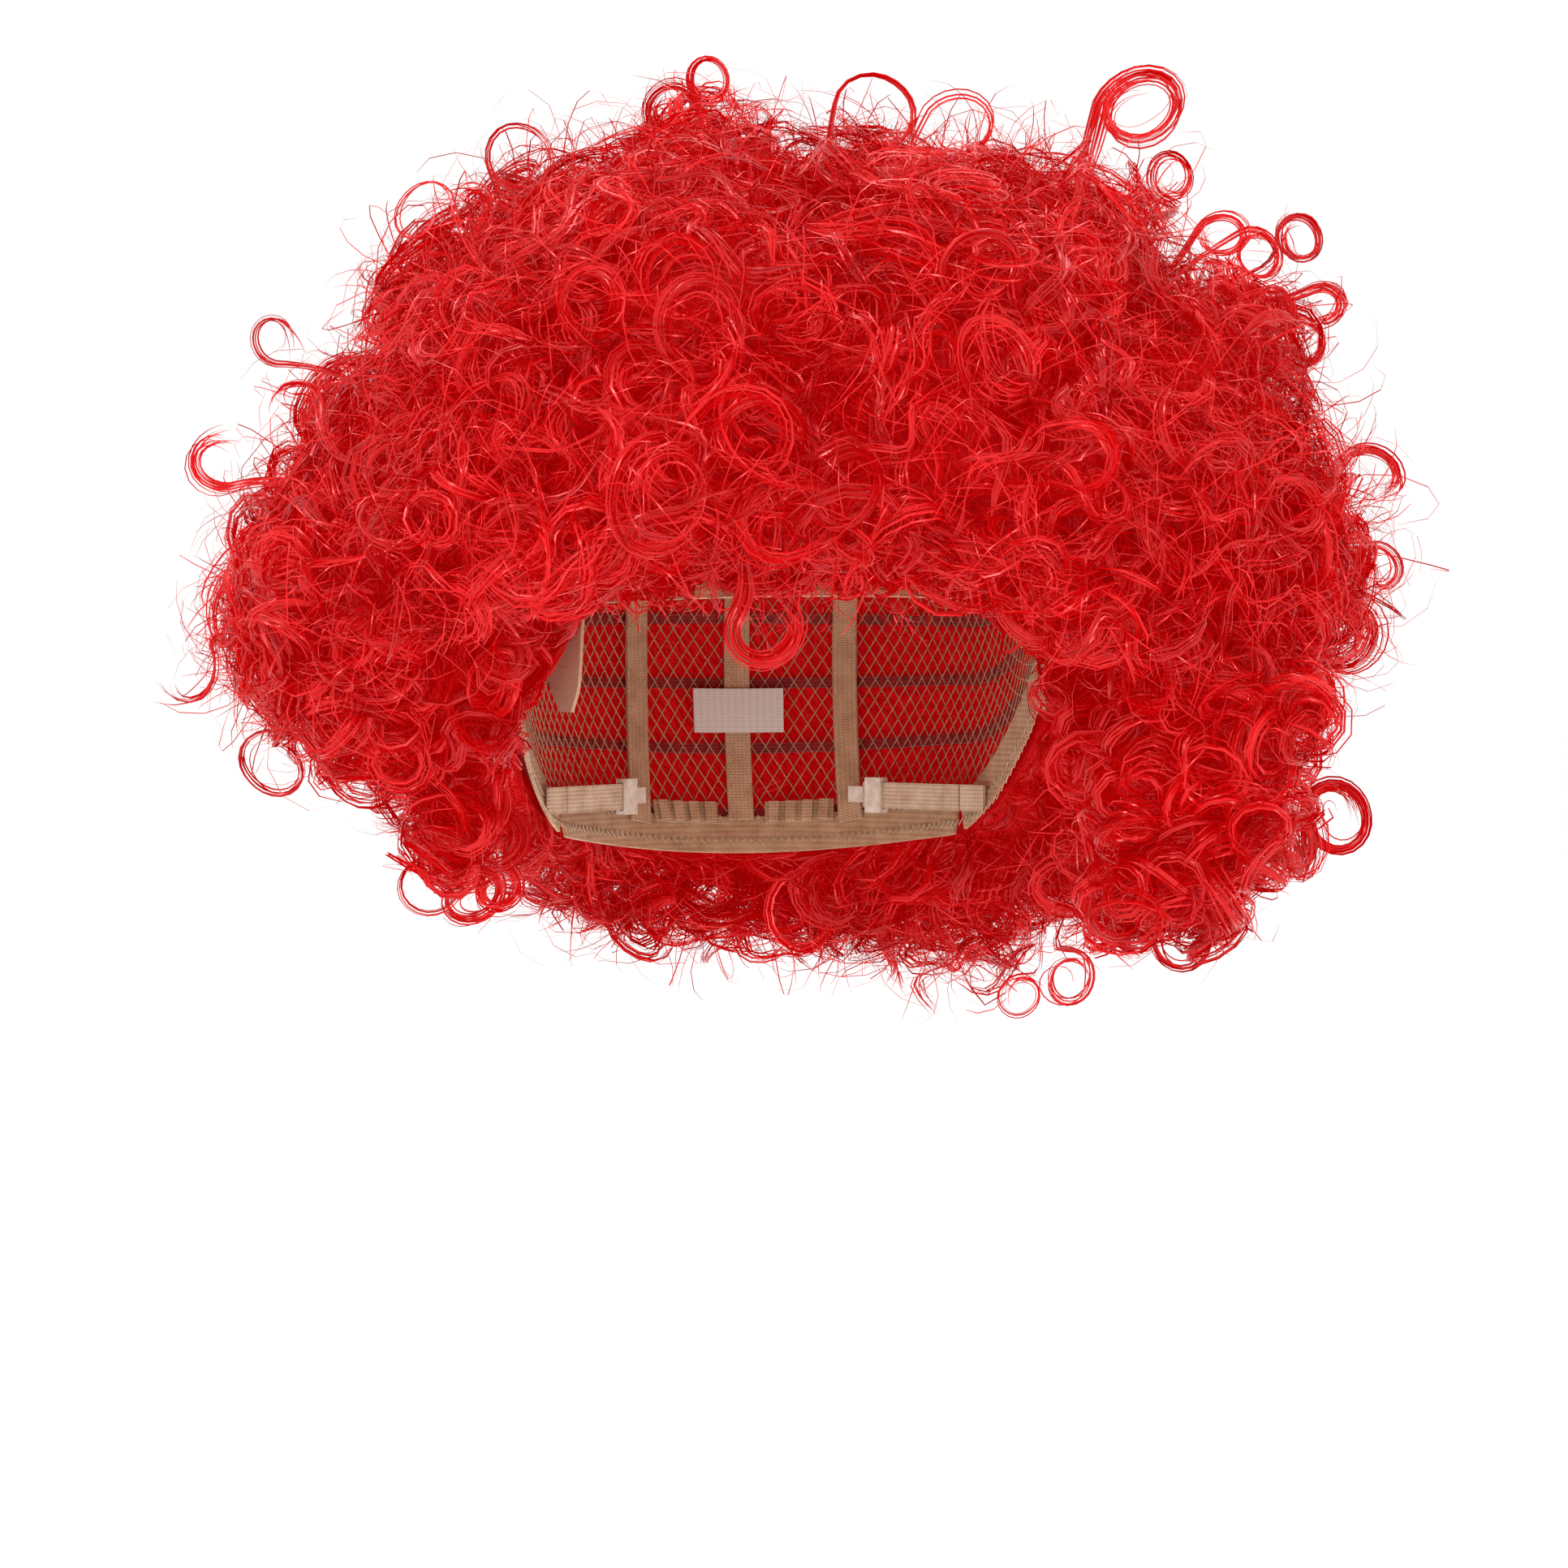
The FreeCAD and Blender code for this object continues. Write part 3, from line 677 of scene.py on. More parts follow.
def coiled_locks(rng, name, settings):
    """The plump coils of one row, rooted at different depths."""
    tresses = Tresses()
    points, normals = scatter(rng, name, settings.coils_per_dm2, settings)
    for point, normal in zip(points, normals):
        axis = lean(rng, normal, point, 0.55)
        radius = settings.curl_diameter / 2 * rng.uniform(0.6, 1.25)
        turns = rng.uniform(1.0, 2.1)
        pitch = rng.uniform(0.3, 0.9) * radius
        base = point - axis * (pitch * turns) - normal * (0.015 * rng.random() ** 1.3)
        coil = coil_line(rng, base, axis, radius, turns, pitch)
        lay_coil(rng, tresses, settings, coil, axis, (0.0, 1.0), (0.55, 1.35))
    return tresses


def waved_locks(rng, name, settings):
    """Crimped locks that lie over the mass and cross each other."""
    tresses = Tresses()
    points, normals = scatter(rng, name, settings.waves_per_dm2, settings)
    for point, normal in zip(points, normals):
        way = unit(np.cross(normal, rng.normal(0, 1, 3)))
        length = rng.uniform(0.020, 0.042)
        base = point - way * length / 2 - normal * rng.uniform(0.003, 0.014)
        swing, waves = rng.uniform(0.002, 0.006), rng.uniform(0.7, 1.6)
        line, out = wave_line(rng, base, way, normal, length, swing, waves)
        hint = np.cross(out, way) + rng.normal(0, 0.4, 3)
        width = settings.lock_width * rng.uniform(0.4, 1.3)
        tresses.add(*strands_along(rng, line, hint, width, settings.ribbon_width, rng.random(), 0.3))
    return tresses


def ring_locks(rng, name, settings):
    """Flat-lying ring curls that show their round openings."""
    tresses = Tresses()
    points, normals = scatter(rng, name, settings.rings_per_dm2, settings)
    for point, normal in zip(points, normals):
        axis = unit(normal + rng.normal(0, 0.3, 3))
        radius = settings.curl_diameter / 2 * rng.uniform(0.75, 1.35)
        base = point + axis * rng.uniform(-0.006, 0.0)
        coil = coil_line(rng, base, axis, radius, rng.uniform(1.2, 1.9), 0.003, 0.8, 16)
        lay_coil(rng, tresses, settings, coil, axis, (0.25, 0.5), (0.7, 1.4), (0.4, 1.0))
    return tresses


# Points along a long stray fibre
STRAY_STEPS = 9


def frizz(rng, name, settings):
    """Single fibres that have come loose, in and just above the surface."""
    tresses = Tresses()
    points, normals = scatter(rng, name, settings.frizz_per_dm2, settings)
    count = len(points)
    bases = points - normals * rng.uniform(0.0, 0.012, (count, 1))
    axes = unit(rng.normal(0, 0.8, (count, 3)) + normals * rng.uniform(-0.2, 0.8, (count, 1)))
    radii = rng.uniform(0.004, 0.015, count)
    bows = rng.uniform(1.0, 4.4, count)
    widths = rng.uniform(0.00020, 0.00040, count)
    rises, tones = rng.uniform(0, 0.009, count), rng.uniform(0.35, 1, count)
    tresses.add_each(*loose_fibres(rng, bases, axes, radii, bows, rises, widths, tones))
    return tresses


def stray_fibres(rng, name, settings):
    """Long thin fibres that stand clear of the hair all round it."""
    tresses = Tresses()
    points, normals = scatter(rng, name, settings.strays_per_dm2, settings)
    count = len(points)
    bases, axes = points - normals * 0.004, unit(normals + rng.normal(0, 0.5, (count, 3)))
    spans = ((0.007, 0.014), (1.0, 3.6), (0, 0.006), (0.00016, 0.00028), (0.5, 1))
    measures = [rng.uniform(low, high, count) for low, high in spans]
    tresses.add_each(*loose_fibres(rng, bases, axes, *measures, STRAY_STEPS))
    return tresses


# The thick of the hair: its columns, its rows under the hair, round its lower edge and outside, and its top
UNDER_COLUMNS = 220
UNDER_ROWS = (14, 6, 54)
UNDER_TOP = 88.5

# Degrees that its lower edge stays above the lowest row's, inside and outside, its height over the outline's,
# and how near the head the inside of a row lies
UNDER_LIFTS = (2.5, 7.0)
UNDER_CLEAR = 0.010
CLOSE_TO_HEAD = 0.010

# How far in from the outline it is shaped, and its lumps: how high, and the sizes of the large and the small
UNDER_DEPTH = 1.25
UNDER_LUMP_HEIGHT = 0.0045
UNDER_LUMP_SIZES = (0.022, 0.009)


def under_hair_mesh(settings, skin):
    """A closed lumpy shell that fills the thick of the hair, from the cap out to under the curls."""
    columns, top = UNDER_COLUMNS, UNDER_TOP
    inside, below, outside = UNDER_ROWS
    row_points = mesh_arrays(NODES[HAIR_ROWS[0]])[0]
    radii = np.linalg.norm(row_points, axis=1)
    close = radii < head_radius(unit(row_points)) + CLOSE_TO_HEAD
    azimuths = np.linspace(-180.0, 180.0, columns, endpoint=False)
    inner_low = np.interp(azimuths, *lower_edge_of(row_points[close])) + UNDER_LIFTS[0]
    outer_low = np.interp(azimuths, *lower_edge_of(row_points[~close])) + UNDER_LIFTS[1]
    thick = settings.thick_share
    profile = [(0.0, share, 0.0) for share in np.linspace(1.0, 0.0, inside)]
    for share in np.linspace(0.15, 0.9, below):
        profile.append((share, 0.0, thick * math.sin(share * math.pi / 2)))
    profile += [(1.0, share, thick) for share in np.linspace(0.0, 1.0, outside)]
    points = []
    for outward, climb, depth in profile:
        for azimuth, low_in, low_out in zip(azimuths, inner_low, outer_low):
            low = low_in + (low_out - low_in) * outward
            way = np.array(direction(azimuth, low + (top - low) * climb))
            near = float(head_radius(way)) + HAIR_LAYER
            far = hair_radius(skin, way)
            points.append(way * (near + (far - near) * depth))
    points = np.array(points)
    rows = len(profile)
    share = np.repeat([depth for *_, depth in profile], columns)
    moved = points.copy()
    outer = share > 0.05
    moved[outer] = shaped(points[outer] * UNDER_DEPTH, settings) / UNDER_DEPTH
    large, small = UNDER_LUMP_SIZES
    swell = np.array([lump(p, large) + 0.6 * lump(p, small) for p in moved])
    moved += unit(moved) * (UNDER_LUMP_HEIGHT * swell * share / thick)[:, None]
    lifted = np.maximum(moved[:, 2], seen(moved, LOWER_EDGE) + UNDER_CLEAR)
    moved[:, 2] = np.where(outer, lifted, moved[:, 2])
    face = over_the_face(moved - np.array((0, 0, 0.004)))
    moved[face, 2] = seen(moved[face], HAIRLINE) + 0.004
    moved = off_the_head(moved, HAIR_LAYER - 0.0002)
    corners = moved.tolist() + [(0, 0, HEAD_RISE + HAIR_LAYER), tuple(moved[-columns:].mean(axis=0))]
    faces = []
    for here in range(0, (rows - 1) * columns, columns):
        above = here + columns
        for column in range(columns):
            after = (column + 1) % columns
            faces.append((here + column, here + after, above + after, above + column))
    inner_top, outer_top = len(moved), len(moved) + 1
    last = (rows - 1) * columns
    for column in range(columns):
        after = (column + 1) % columns
        faces.append((inner_top, after, column))
        faces.append((outer_top, last + column, last + after))
    mesh = bpy.data.meshes.new("under_hair")
    mesh.from_pydata(corners, [], faces)
    mesh.polygons.foreach_set("use_smooth", [True] * len(mesh.polygons))
    face_outwards(mesh)
    return mesh


# ---------------------------------------------------------------- curls with places of their own

# Seen from the front, in millimetres: across, up, diameter, angle where the ring starts, turns (less than 0
# is clockwise), lock width, and where its root is, across and up
STRAY_CURLS = {
    "crown loop": (-22, 168, 13, 200, -1.1, 2.2, -27, 154),
    "crown loop behind": (-33, 160, 14, 190, -1.2, 3.0, -38, 148),
    "tall curl": (106, 159, 25, 170, -1.2, 5.2, 92, 138),
    "ring below the tall curl": (114, 140, 14, 250, -1.1, 2.4, 108, 130),
    "corner ring": (129, 121, 15, 150, -1.0, 2.2, 113, 116),
    "corner ring behind": (139, 116, 15, 120, -1.2, 1.8, 121, 116),
    "corner ring outside": (152, 121, 14, 180, -1.2, 2.4, 134, 112),
    "corner tail": (158, 101, 14, 120, -0.7, 3.2, 140, 102),
    "corner tail below": (154, 90, 12, 60, -0.7, 2.6, 140, 92),
    "shoulder hook": (174, 51, 18, 130, -0.6, 3.8, 156, 50),
    "side loop": (165, 3, 20, 60, -0.7, 3.6, 155, 14),
    "side loop above": (176, 24, 14, 90, -0.7, 2.4, 160, 28),
    "cheek curl": (164, -50, 21, 190, -1.5, 3.8, 138, -40),
    "cheek curl inside": (148, -57, 18, 170, -1.2, 3.2, 132, -46),
    "jaw loop": (116, -86, 19, 110, -1.2, 3.2, 102, -70),
    "jaw loop behind": (128, -79, 16, 90, -1.1, 2.4, 112, -66),
    "jaw wisp": (70, -103, 13, 80, 1.3, 0.9, 80, -84),
    "jaw wisp inside": (84, -97, 16, 100, -1.2, 1.6, 88, -80),
    "ear bunch top": (-92, -44, 21, 140, -1.3, 4.6, -98, -24),
    "ear bunch middle": (-86, -57, 18, 90, -1.0, 4.2, -92, -34),
    "ear bunch inner": (-99, -62, 17, 70, 1.2, 3.6, -96, -36),
    "ear bunch low": (-93, -72, 17, 80, -1.1, 3.4, -93, -48),
    "ear bunch hook": (-84, -71, 12, 40, -0.9, 3.6, -83, -50),
    "ear bunch wisp": (-104, -70, 20, 100, 1.1, 0.9, -100, -50),
    "low ring": (-151, -34, 20, 60, 1.15, 1.8, -132, -20),
    "low swag": (-124, -34, 24, 190, 0.6, 2.6, -130, -22),
    "low tail": (-177, -6, 20, 20, -0.45, 1.6, -160, 4),
    "left hook": (-166, 56, 17, 285, -0.6, 3.0, -144, 44),
    "left hook above": (-144, 73, 13, 0, 0.55, 2.4, -132, 58),
    "left side loop": (-150, 92, 14, 270, -0.8, 1.6, -134, 84),
    "clear loop": (-77, 145, 22, 200, -1.1, 1.1, -84, 130),
    "clear loop left": (-106, 129, 19, 20, 1.0, 0.7, -92, 118),
    "stub": (-92, 131, 9, 330, 0.6, 3.2, -84, 120),
    "top arch": (28, 158, 24, 170, -0.8, 1.4, 16, 148),
    "top arch right": (52, 154, 20, 150, -0.9, 1.2, 44, 142),
}

# Rings that lie on the hair: across, up and diameter, in millimetres
RING_CURLS = (
    (-8, 70, 26), (62, 85, 25), (116, 68, 23), (106, 27, 28), (-96, 77, 26), (-40, 46, 30),
    (-146, 7, 22), (118, -12, 20), (60, 116, 22), (-60, 110, 21), (-26, 100, 26), (-118, 34, 24),
    (88, 56, 24), (22, 46, 24), (124, -40, 19), (100, -56, 21), (-124, -8, 20), (86, 4, 22),
)

# The ring over the forehead, in the words of the stray curls, how far forward it hangs, and its loose fibres
FOREHEAD_CURL = (-5, 6, 20, 150, 0.72, 5.2, -12, 30)
FOREHEAD_DEPTH = -0.109
FOREHEAD_FIBRES = 60

# Depth of a stray curl, and of a root that the front view shows off the hair
STRAY_DEPTH = -0.020
ROOT_DEPTH = -0.012

# Width of the fibre ribbons in curls that are placed one by one, and in the tight curls of the hairline
PLACED_RIBBON = 0.00044
HAIRLINE_RIBBON = 0.0005

# How much closer to the head than the mass the tight curls of the hairline may lie
HAIRLINE_SINK = 0.0025

# Locks in front of the hair's underside: across from and to, up from and to, depth at the top and the bottom,
# and how many
DRAPES = {
    "left cheek": ((0.079, 0.138), (-0.080, -0.006), (-0.090, -0.052), 190),
    "right cheek": ((-0.150, -0.084), (-0.034, -0.000), (-0.086, -0.058), 90),
    "ear bunch": ((-0.112, -0.083), (-0.070, -0.026), (-0.052, -0.044), 70),
    "left temple": ((0.060, 0.086), (-0.036, 0.012), (-0.074, -0.052), 60),
    "right temple": ((-0.088, -0.060), (-0.024, 0.012), (-0.074, -0.056), 60),
}


def draped_locks(rng, settings):
    """Locks that hang over the hair's underside beside the face, so that no hollow shows there."""
    tresses = Tresses()
    back = np.array(front_back())
    for across, up, depth, count in DRAPES.values():
        for _ in range(count):
            x, z = rng.uniform(*across), rng.uniform(*up)
            y = np.interp(z, up, depth[::-1]) + rng.uniform(-0.006, 0.022)
            point = ACROSS * x + np.array((0.0, y, z))
            if point[2] < seen(point, LOWER_EDGE) - 0.006:
                continue
            axis = unit(0.6 * back + np.array((0, 0, -0.5)) + rng.normal(0, 0.5, 3))
            radius = settings.curl_diameter / 2 * rng.uniform(0.55, 1.05)
            coil = coil_line(rng, point, axis, radius, rng.uniform(1.0, 1.9), 0.5 * radius)
            lay_coil(rng, tresses, settings, coil, axis, (0.0, 1.0), (0.7, 1.5), (0.3, 1.0))
    return tresses


def placed(skin, across, up, depth=None):
    """The point that the front view shows at a place across and up: on the hair, or at a depth off it."""
    back = front_back()
    upright = Vector(ACROSS).cross(back) * -1.0
    eye = FRONT_TARGET + back * (FRONT_SPAN * FRONT_LENS / SENSOR_WIDTH)
    aim = Vector(ACROSS) * across + upright * up
    way = (aim - eye).normalized()
    if depth is None:
        hit = skin.ray_cast(eye, way)[0]
        if hit is not None and hit.y < 0.0:
            return np.array(hit)
        depth = ROOT_DEPTH
    return np.array(eye + way * ((depth - eye.y) / way.y))


def ring_line(rng, centre, root, axis, diameter, start, turns, pitch=0.0035, steps=22):
    """Centre line of a curl that rises from its root and winds round a ring, and the way out of the ring."""
    up = unit(np.array((0.0, 0.0, 1.0)) - axis * axis[2])
    right = np.cross(up, axis)
    count = max(6, int(abs(turns) * steps))
    t = np.linspace(0.0, 1.0, count)
    angle = math.radians(start) + 2 * math.pi * turns * t
    out = np.cos(angle)[:, None] * right + np.sin(angle)[:, None] * up
    uneven = 1.0 + 0.07 * np.sin(2 * angle + rng.uniform(0, 6)) + 0.05 * np.sin(angle + rng.uniform(0, 6))
    radius = diameter / 2 * (1.0 - 0.28 * t) * uneven
    ring = centre + out * radius[:, None] + axis * (pitch * abs(turns) * t)[:, None]
    first = ring[0]
    reach = np.linalg.norm(first - root)
    turn_way = math.copysign(1.0, turns) * (-math.sin(angle[0]) * right + math.cos(angle[0]) * up)
    s = np.linspace(0.0, 1.0, max(4, int(reach / 0.003)), endpoint=False)[:, None]
    leave, arrive = (first - root) * 1.1, turn_way * reach * 1.3
    stem = (
        (2 * s**3 - 3 * s**2 + 1) * root
        + (s**3 - 2 * s**2 + s) * leave
        + (3 * s**2 - 2 * s**3) * first
        + (s**3 - s**2) * arrive
    )
    return np.concatenate([stem, ring]), np.concatenate([np.broadcast_to(out[0], stem.shape), out])


def stray_curls(rng, skin, settings):
    """The curls that stand out of the mass, each with its own place, and the rings that lie on it."""
    tresses = Tresses()
    back = np.array(front_back())
    for across, up, diameter, start, turns, width, root_across, root_up in STRAY_CURLS.values():
        axis = unit(back + rng.normal(0, 0.22, 3))
        centre = placed(skin, across * MM, up * MM, STRAY_DEPTH)
        root = placed(skin, root_across * MM, root_up * MM)
        root = shaped(root[None], settings)[0] * 0.97
        line, out = ring_line(rng, centre, root, axis, diameter * MM, start, turns)
        hint = 0.35 * axis + 0.94 * out
        tone = rng.uniform(0.3, 0.9)
        tresses.add_free(*strands_along(rng, line, hint, width * MM, PLACED_RIBBON, tone, 0.12, 1.9))
    for across, up, diameter in RING_CURLS:
        centre = shaped(placed(skin, across * MM, up * MM)[None], settings)[0]
        axis = unit(0.5 * back + 0.5 * unit(centre) + rng.normal(0, 0.42, 3))
        root = centre - axis * 0.014 + rng.normal(0, 0.008, 3)
        turns = rng.choice((-1, 1)) * rng.uniform(0.85, 1.35)
        centre = centre - axis * 0.001
        line, out = ring_line(rng, centre, root, axis, diameter * MM, rng.uniform(0, 360), turns, 0.008)
        roll = rng.uniform(0, math.pi) + np.linspace(0.0, 2.5, len(line))[:, None]
        hint = np.cos(roll) * axis + np.sin(roll) * out
        width, tone = rng.uniform(0.0032, 0.0052), rng.uniform(0.3, 0.8)
        tresses.add_free(*strands_along(rng, line, hint, width, PLACED_RIBBON, tone, 0.2, 1.5))
    return tresses


def forehead_curl(rng, skin):
    """The one ring that hangs over the forehead, with fine fibres inside and under it."""
    tresses = Tresses()
    across, up, diameter, start, turns, width, root_across, root_up = FOREHEAD_CURL
    back = np.array(front_back())
    centre = placed(skin, across * MM, up * MM, FOREHEAD_DEPTH)
    root = placed(skin, root_across * MM, root_up * MM, FOREHEAD_DEPTH - 0.004)
    line, out = ring_line(rng, centre, root, back, diameter * MM, start, turns)
    hint = 0.3 * back + 0.95 * out
    tresses.add_free(*strands_along(rng, line, hint, width * MM, PLACED_RIBBON, 0.5, 0.08, 2.2))
    count = FOREHEAD_FIBRES
    places = np.array([placed(skin, x, 0.014, FOREHEAD_DEPTH) for x in rng.uniform(-0.050, 0.045, count)])
    axes = unit(np.array((0.0, -0.15, -1.0)) + rng.normal(0, 0.5, (count, 3)))
    lengths = rng.uniform(0.004, 0.011, count)
    bows, widths = rng.uniform(0.8, 3.0, count), rng.uniform(0.0002, 0.0003, count)
    tones = rng.uniform(0.4, 1.0, count)
    tresses.add_free(*loose_fibres(rng, places, axes, lengths, bows, lengths * 0.3, widths, tones))
    return tresses


def hairline_curls(rng, rim, settings):
    """Small tight curls and short fuzz along the front and side rim, which hide the elastic band."""
    tresses = Tresses()
    for azimuth in np.arange(-176.0, -4.0, settings.hairline_step):
        for _ in range(3):
            own = azimuth + rng.uniform(-1.0, 1.0)
            low = float(np.interp(own, *rim))
            way = np.array(direction(own, low + rng.uniform(0.5, 10.0)))
            base = way * (float(head_radius(way)) + rng.uniform(0.004, 0.012))
            axis = unit(np.array(direction(own + 90.0, 0.0)) + rng.normal(0, 0.45, 3))
            radius = rng.uniform(0.0025, 0.0055)
            line, out = coil_line(rng, base, axis, radius, rng.uniform(1.2, 2.4), radius * 0.8)
            hint, width = axis + 0.5 * out, rng.uniform(0.0018, 0.0036)
            strands = strands_along(rng, line, hint, width, HAIRLINE_RIBBON, rng.random(), 0.3)
            points = strands[0]
            if points[..., 2].min() > seen(points.reshape(-1, 3).mean(axis=0), HAIRLINE) - 0.003:
                tresses.add_free(*strands, HAIR_LAYER - HAIRLINE_SINK)
    return tresses


# ---------------------------------------------------------------- the cap

NET_LAYER = 0.0018
BAND_INSIDE = 0.00125

# How high each of four net threads in turn climbs, and how far round each winds, in degrees
NET_TOP = 79.5
NET_MIDDLE = 66.0
NET_LOW = 48.0
NET_LINE_TOPS = (NET_TOP, NET_LOW, NET_MIDDLE, NET_LOW)
NET_TWIST = 75.0

# Usual radii of the rim, the cap and the ribs, which turn lengths along them into angles
RIM_RADIUS = 0.086
CAP_RADIUS = 0.090
RIB_RADIUS = 0.089

# A wave texture at a scale of 1 repeats every tenth of two pi
WAVE_REPEAT = 2 * math.pi / 20


def on_head(azimuth, elevation, layer):
    way = np.array(direction(azimuth, elevation))
    return way * (float(head_radius(way)) + layer)


def edge_mesh(name, lines):
    """A mesh of bare edges along several lines of points."""
    points, edges = [], []
    for line in lines:
        start = len(points)
        points += [tuple(point) for point in line]
        edges += [(start + i, start + i + 1) for i in range(len(line) - 1)]
    mesh = bpy.data.meshes.new(name)
    mesh.from_pydata(points, edges, [])
    return mesh


def net_lines(settings):
    """Two families of threads that wind up the cap opposite ways and cross in diamonds."""
    low = lower_edge_of(mesh_arrays(NODES["crown_net"])[0])
    lines = []
    for hand in (-1.0, 1.0):
        for index in range(settings.net_threads):
            start = 360.0 * index / settings.net_threads - 180.0
            top = NET_LINE_TOPS[index % len(NET_LINE_TOPS)]
            line = []
            for share in np.linspace(0.0, 1.0, 30):
                azimuth = start + hand * NET_TWIST * share
                bottom = float(np.interp(turn_between(azimuth, 0.0), *low))
                elevation = bottom + (NET_TOP - bottom) * share
                if elevation > top:
                    break
                line.append(on_head(azimuth, elevation, NET_LAYER))
            lines.append(line)
    for elevation in (NET_LOW, NET_MIDDLE, NET_TOP):
        lines.append([on_head(azimuth, elevation, NET_LAYER) for azimuth in range(0, 361, 5)])
    return lines


def zigzag_lines(settings):
    """Machine zigzags round the inside of the rim bands, near their upper and lower edges."""
    low = lower_edge_of(np.concatenate([mesh_arrays(NODES[name])[0] for name in RIM_BANDS]))
    count = int(2 * math.pi * RIM_RADIUS / settings.stitch_length)
    lines = []
    for rise in (0.0022, 0.0086):
        line = []
        for index in range(2 * count + 1):
            azimuth = 360.0 * index / (2 * count) - 180.0
            height = rise + (settings.stitch_length * 0.8 if index % 2 else 0.0)
            elevation = float(np.interp(azimuth, *low)) + math.degrees(height / CAP_RADIUS)
            line.append(on_head(azimuth, elevation, BAND_INSIDE))
        lines.append(line)
    return lines


RIBS = ("rib_left", "rib_center", "rib_right")


def running_stitches(settings):
    """Short stitches in two rows along the inside of each rib."""
    lines = []
    for name in RIBS:
        points = mesh_arrays(NODES[name])[0]
        middle = (points[:, 0].min() + points[:, 0].max()) / 2
        front, back = points[points[:, 1] < 0, 2].min(), points[points[:, 1] > 0, 2].min()
        for aside in (-0.0028, 0.0028):
            across = middle + aside
            share = math.sqrt(1.0 - (across / HEAD_HALF_WIDTH) ** 2)
            first = math.asin((front + 0.003) / (HEAD_RISE * share))
            last = math.pi - math.asin((back + 0.004) / (HEAD_DROP * share))
            pitch = settings.stitch_length / RIB_RADIUS
            for turn in np.arange(first, last, pitch):
                stitch = []
                for angle in (turn, turn + 0.34 * pitch, turn + 0.68 * pitch):
                    half_z = HEAD_RISE if math.sin(angle) > 0 else HEAD_DROP
                    along, up = -HEAD_HALF_LENGTH * math.cos(angle), half_z * math.sin(angle)
                    way = unit(np.array((across, along * share, up * share)))
                    stitch.append(way * (float(head_radius(way)) - 0.00012))
                lines.append(stitch)
    return lines


def thread_tree(name):
    """Turns bare lines into round threads."""
    sockets = [
        ("Thickness", "NodeSocketFloat", 0.0004),
        ("Sides", "NodeSocketInt", 3),
        ("Material", "NodeSocketMaterial", None),
    ]
    tree, entry, leave = new_geometry_tree(name, sockets)
    curve = add_node(tree, "GeometryNodeMeshToCurve", links={"Mesh": entry})
    thickness = entry.outputs["Thickness"]
    radius = add_node(tree, "ShaderNodeMath", {1: 0.5}, {0: thickness}, operation="MULTIPLY")
    ring = {"Resolution": entry.outputs["Sides"], "Radius": radius}
    profile = add_node(tree, "GeometryNodeCurvePrimitiveCircle", links=ring)
    swept = {"Curve": curve, "Profile Curve": profile}
    thread = add_node(tree, "GeometryNodeCurveToMesh", {"Fill Caps": True}, swept)
    finish_geometry(tree, thread, entry, leave)
    return tree


def weave(tree, place, round_axis, cord, pick):
    """Metres along and across a tape that lies on the head, and its lengthwise cords and crossing picks."""
    split = add_node(tree, "ShaderNodeSeparateXYZ", links={"Vector": place}).outputs
    first, second, across = {"Z": ("Y", "X", "Z"), "X": ("Z", "Y", "X")}[round_axis]
    angle = add_node(tree, "ShaderNodeMath", links={0: split[first], 1: split[second]}, operation="ARCTAN2")
    radius = (HEAD_HALF_WIDTH + HEAD_HALF_LENGTH) / 2
    along = add_node(tree, "ShaderNodeMath", {1: radius}, {0: angle}, operation="MULTIPLY")
    vector = add_node(tree, "ShaderNodeCombineXYZ", links={"X": along, "Y": split[across]})
    ridges = []
    for way, spacing in (("Y", cord), ("X", pick)):
        look = {"Scale": WAVE_REPEAT / spacing, "Distortion": 0.6, "Detail": 1.0}
        wave = add_node(tree, "ShaderNodeTexWave", look, {"Vector": vector}, bands_direction=way)
        ridges.append(wave.outputs["Fac"])
    return vector, *ridges


def woven_material(name, light, dark, round_axis, cord, pick, roughness=0.8):
    """Woven elastic or tape: lengthwise cords crossed by fine picks, a little fuzzy and unevenly dyed."""
    material, tree, place = new_material(name)
    vector, cords, picks = weave(tree, place, round_axis, cord, pick)
    height = add_node(tree, "ShaderNodeMath", links={0: cords, 1: picks}, operation="MULTIPLY")
    dye = add_node(tree, "ShaderNodeTexNoise", {"Scale": 1 / (6 * MM), "Detail": 4.0}, {"Vector": vector})
    # The colour is partly painted shade, darker where the weave lies low between the cords and picks, and
    # partly real uneven dye
    shade = add_node(tree, "ShaderNodeMath", {1: 0.5}, {0: height, 2: dye}, operation="MULTIPLY_ADD")
    colour = add_node(tree, "ShaderNodeValToRGB", links={"Fac": shade}, stops=[(0.25, dark), (0.95, light)])
    bump = add_node(tree, "ShaderNodeBump", {"Strength": 0.7, "Distance": 0.25 * MM}, {"Height": height})
    elastic = {"Roughness": roughness, "Sheen Weight": 0.25, "Sheen Roughness": 0.4}
    finish_material(tree, elastic, {"Base Color": colour, "Normal": bump})
    return material


def satin_material(name, light, dark):
    """Satin-woven label ribbon: long floats side by side that catch the light along one way, painted lighter
    on the floats and darker between them.
    """
    material, tree, place = new_material(name)
    _, floats, picks = weave(tree, place, "Z", 0.7 * MM, 2.1 * MM)
    height = add_node(tree, "ShaderNodeMath", {1: 0.3}, {0: picks, 2: floats}, operation="MULTIPLY_ADD")
    # Painted shade: the colour is lighter where the floats and picks stand high and darker between them
    colour = add_node(tree, "ShaderNodeValToRGB", links={"Fac": height}, stops=[(0.1, dark), (0.9, light)])
    bump = add_node(tree, "ShaderNodeBump", {"Strength": 0.35, "Distance": 0.08 * MM}, {"Height": height})
    satin = {"Roughness": 0.38, "Anisotropic": 0.5, "Sheen Weight": 0.3}
    finish_material(tree, satin, {"Base Color": colour, "Normal": bump})
    return material


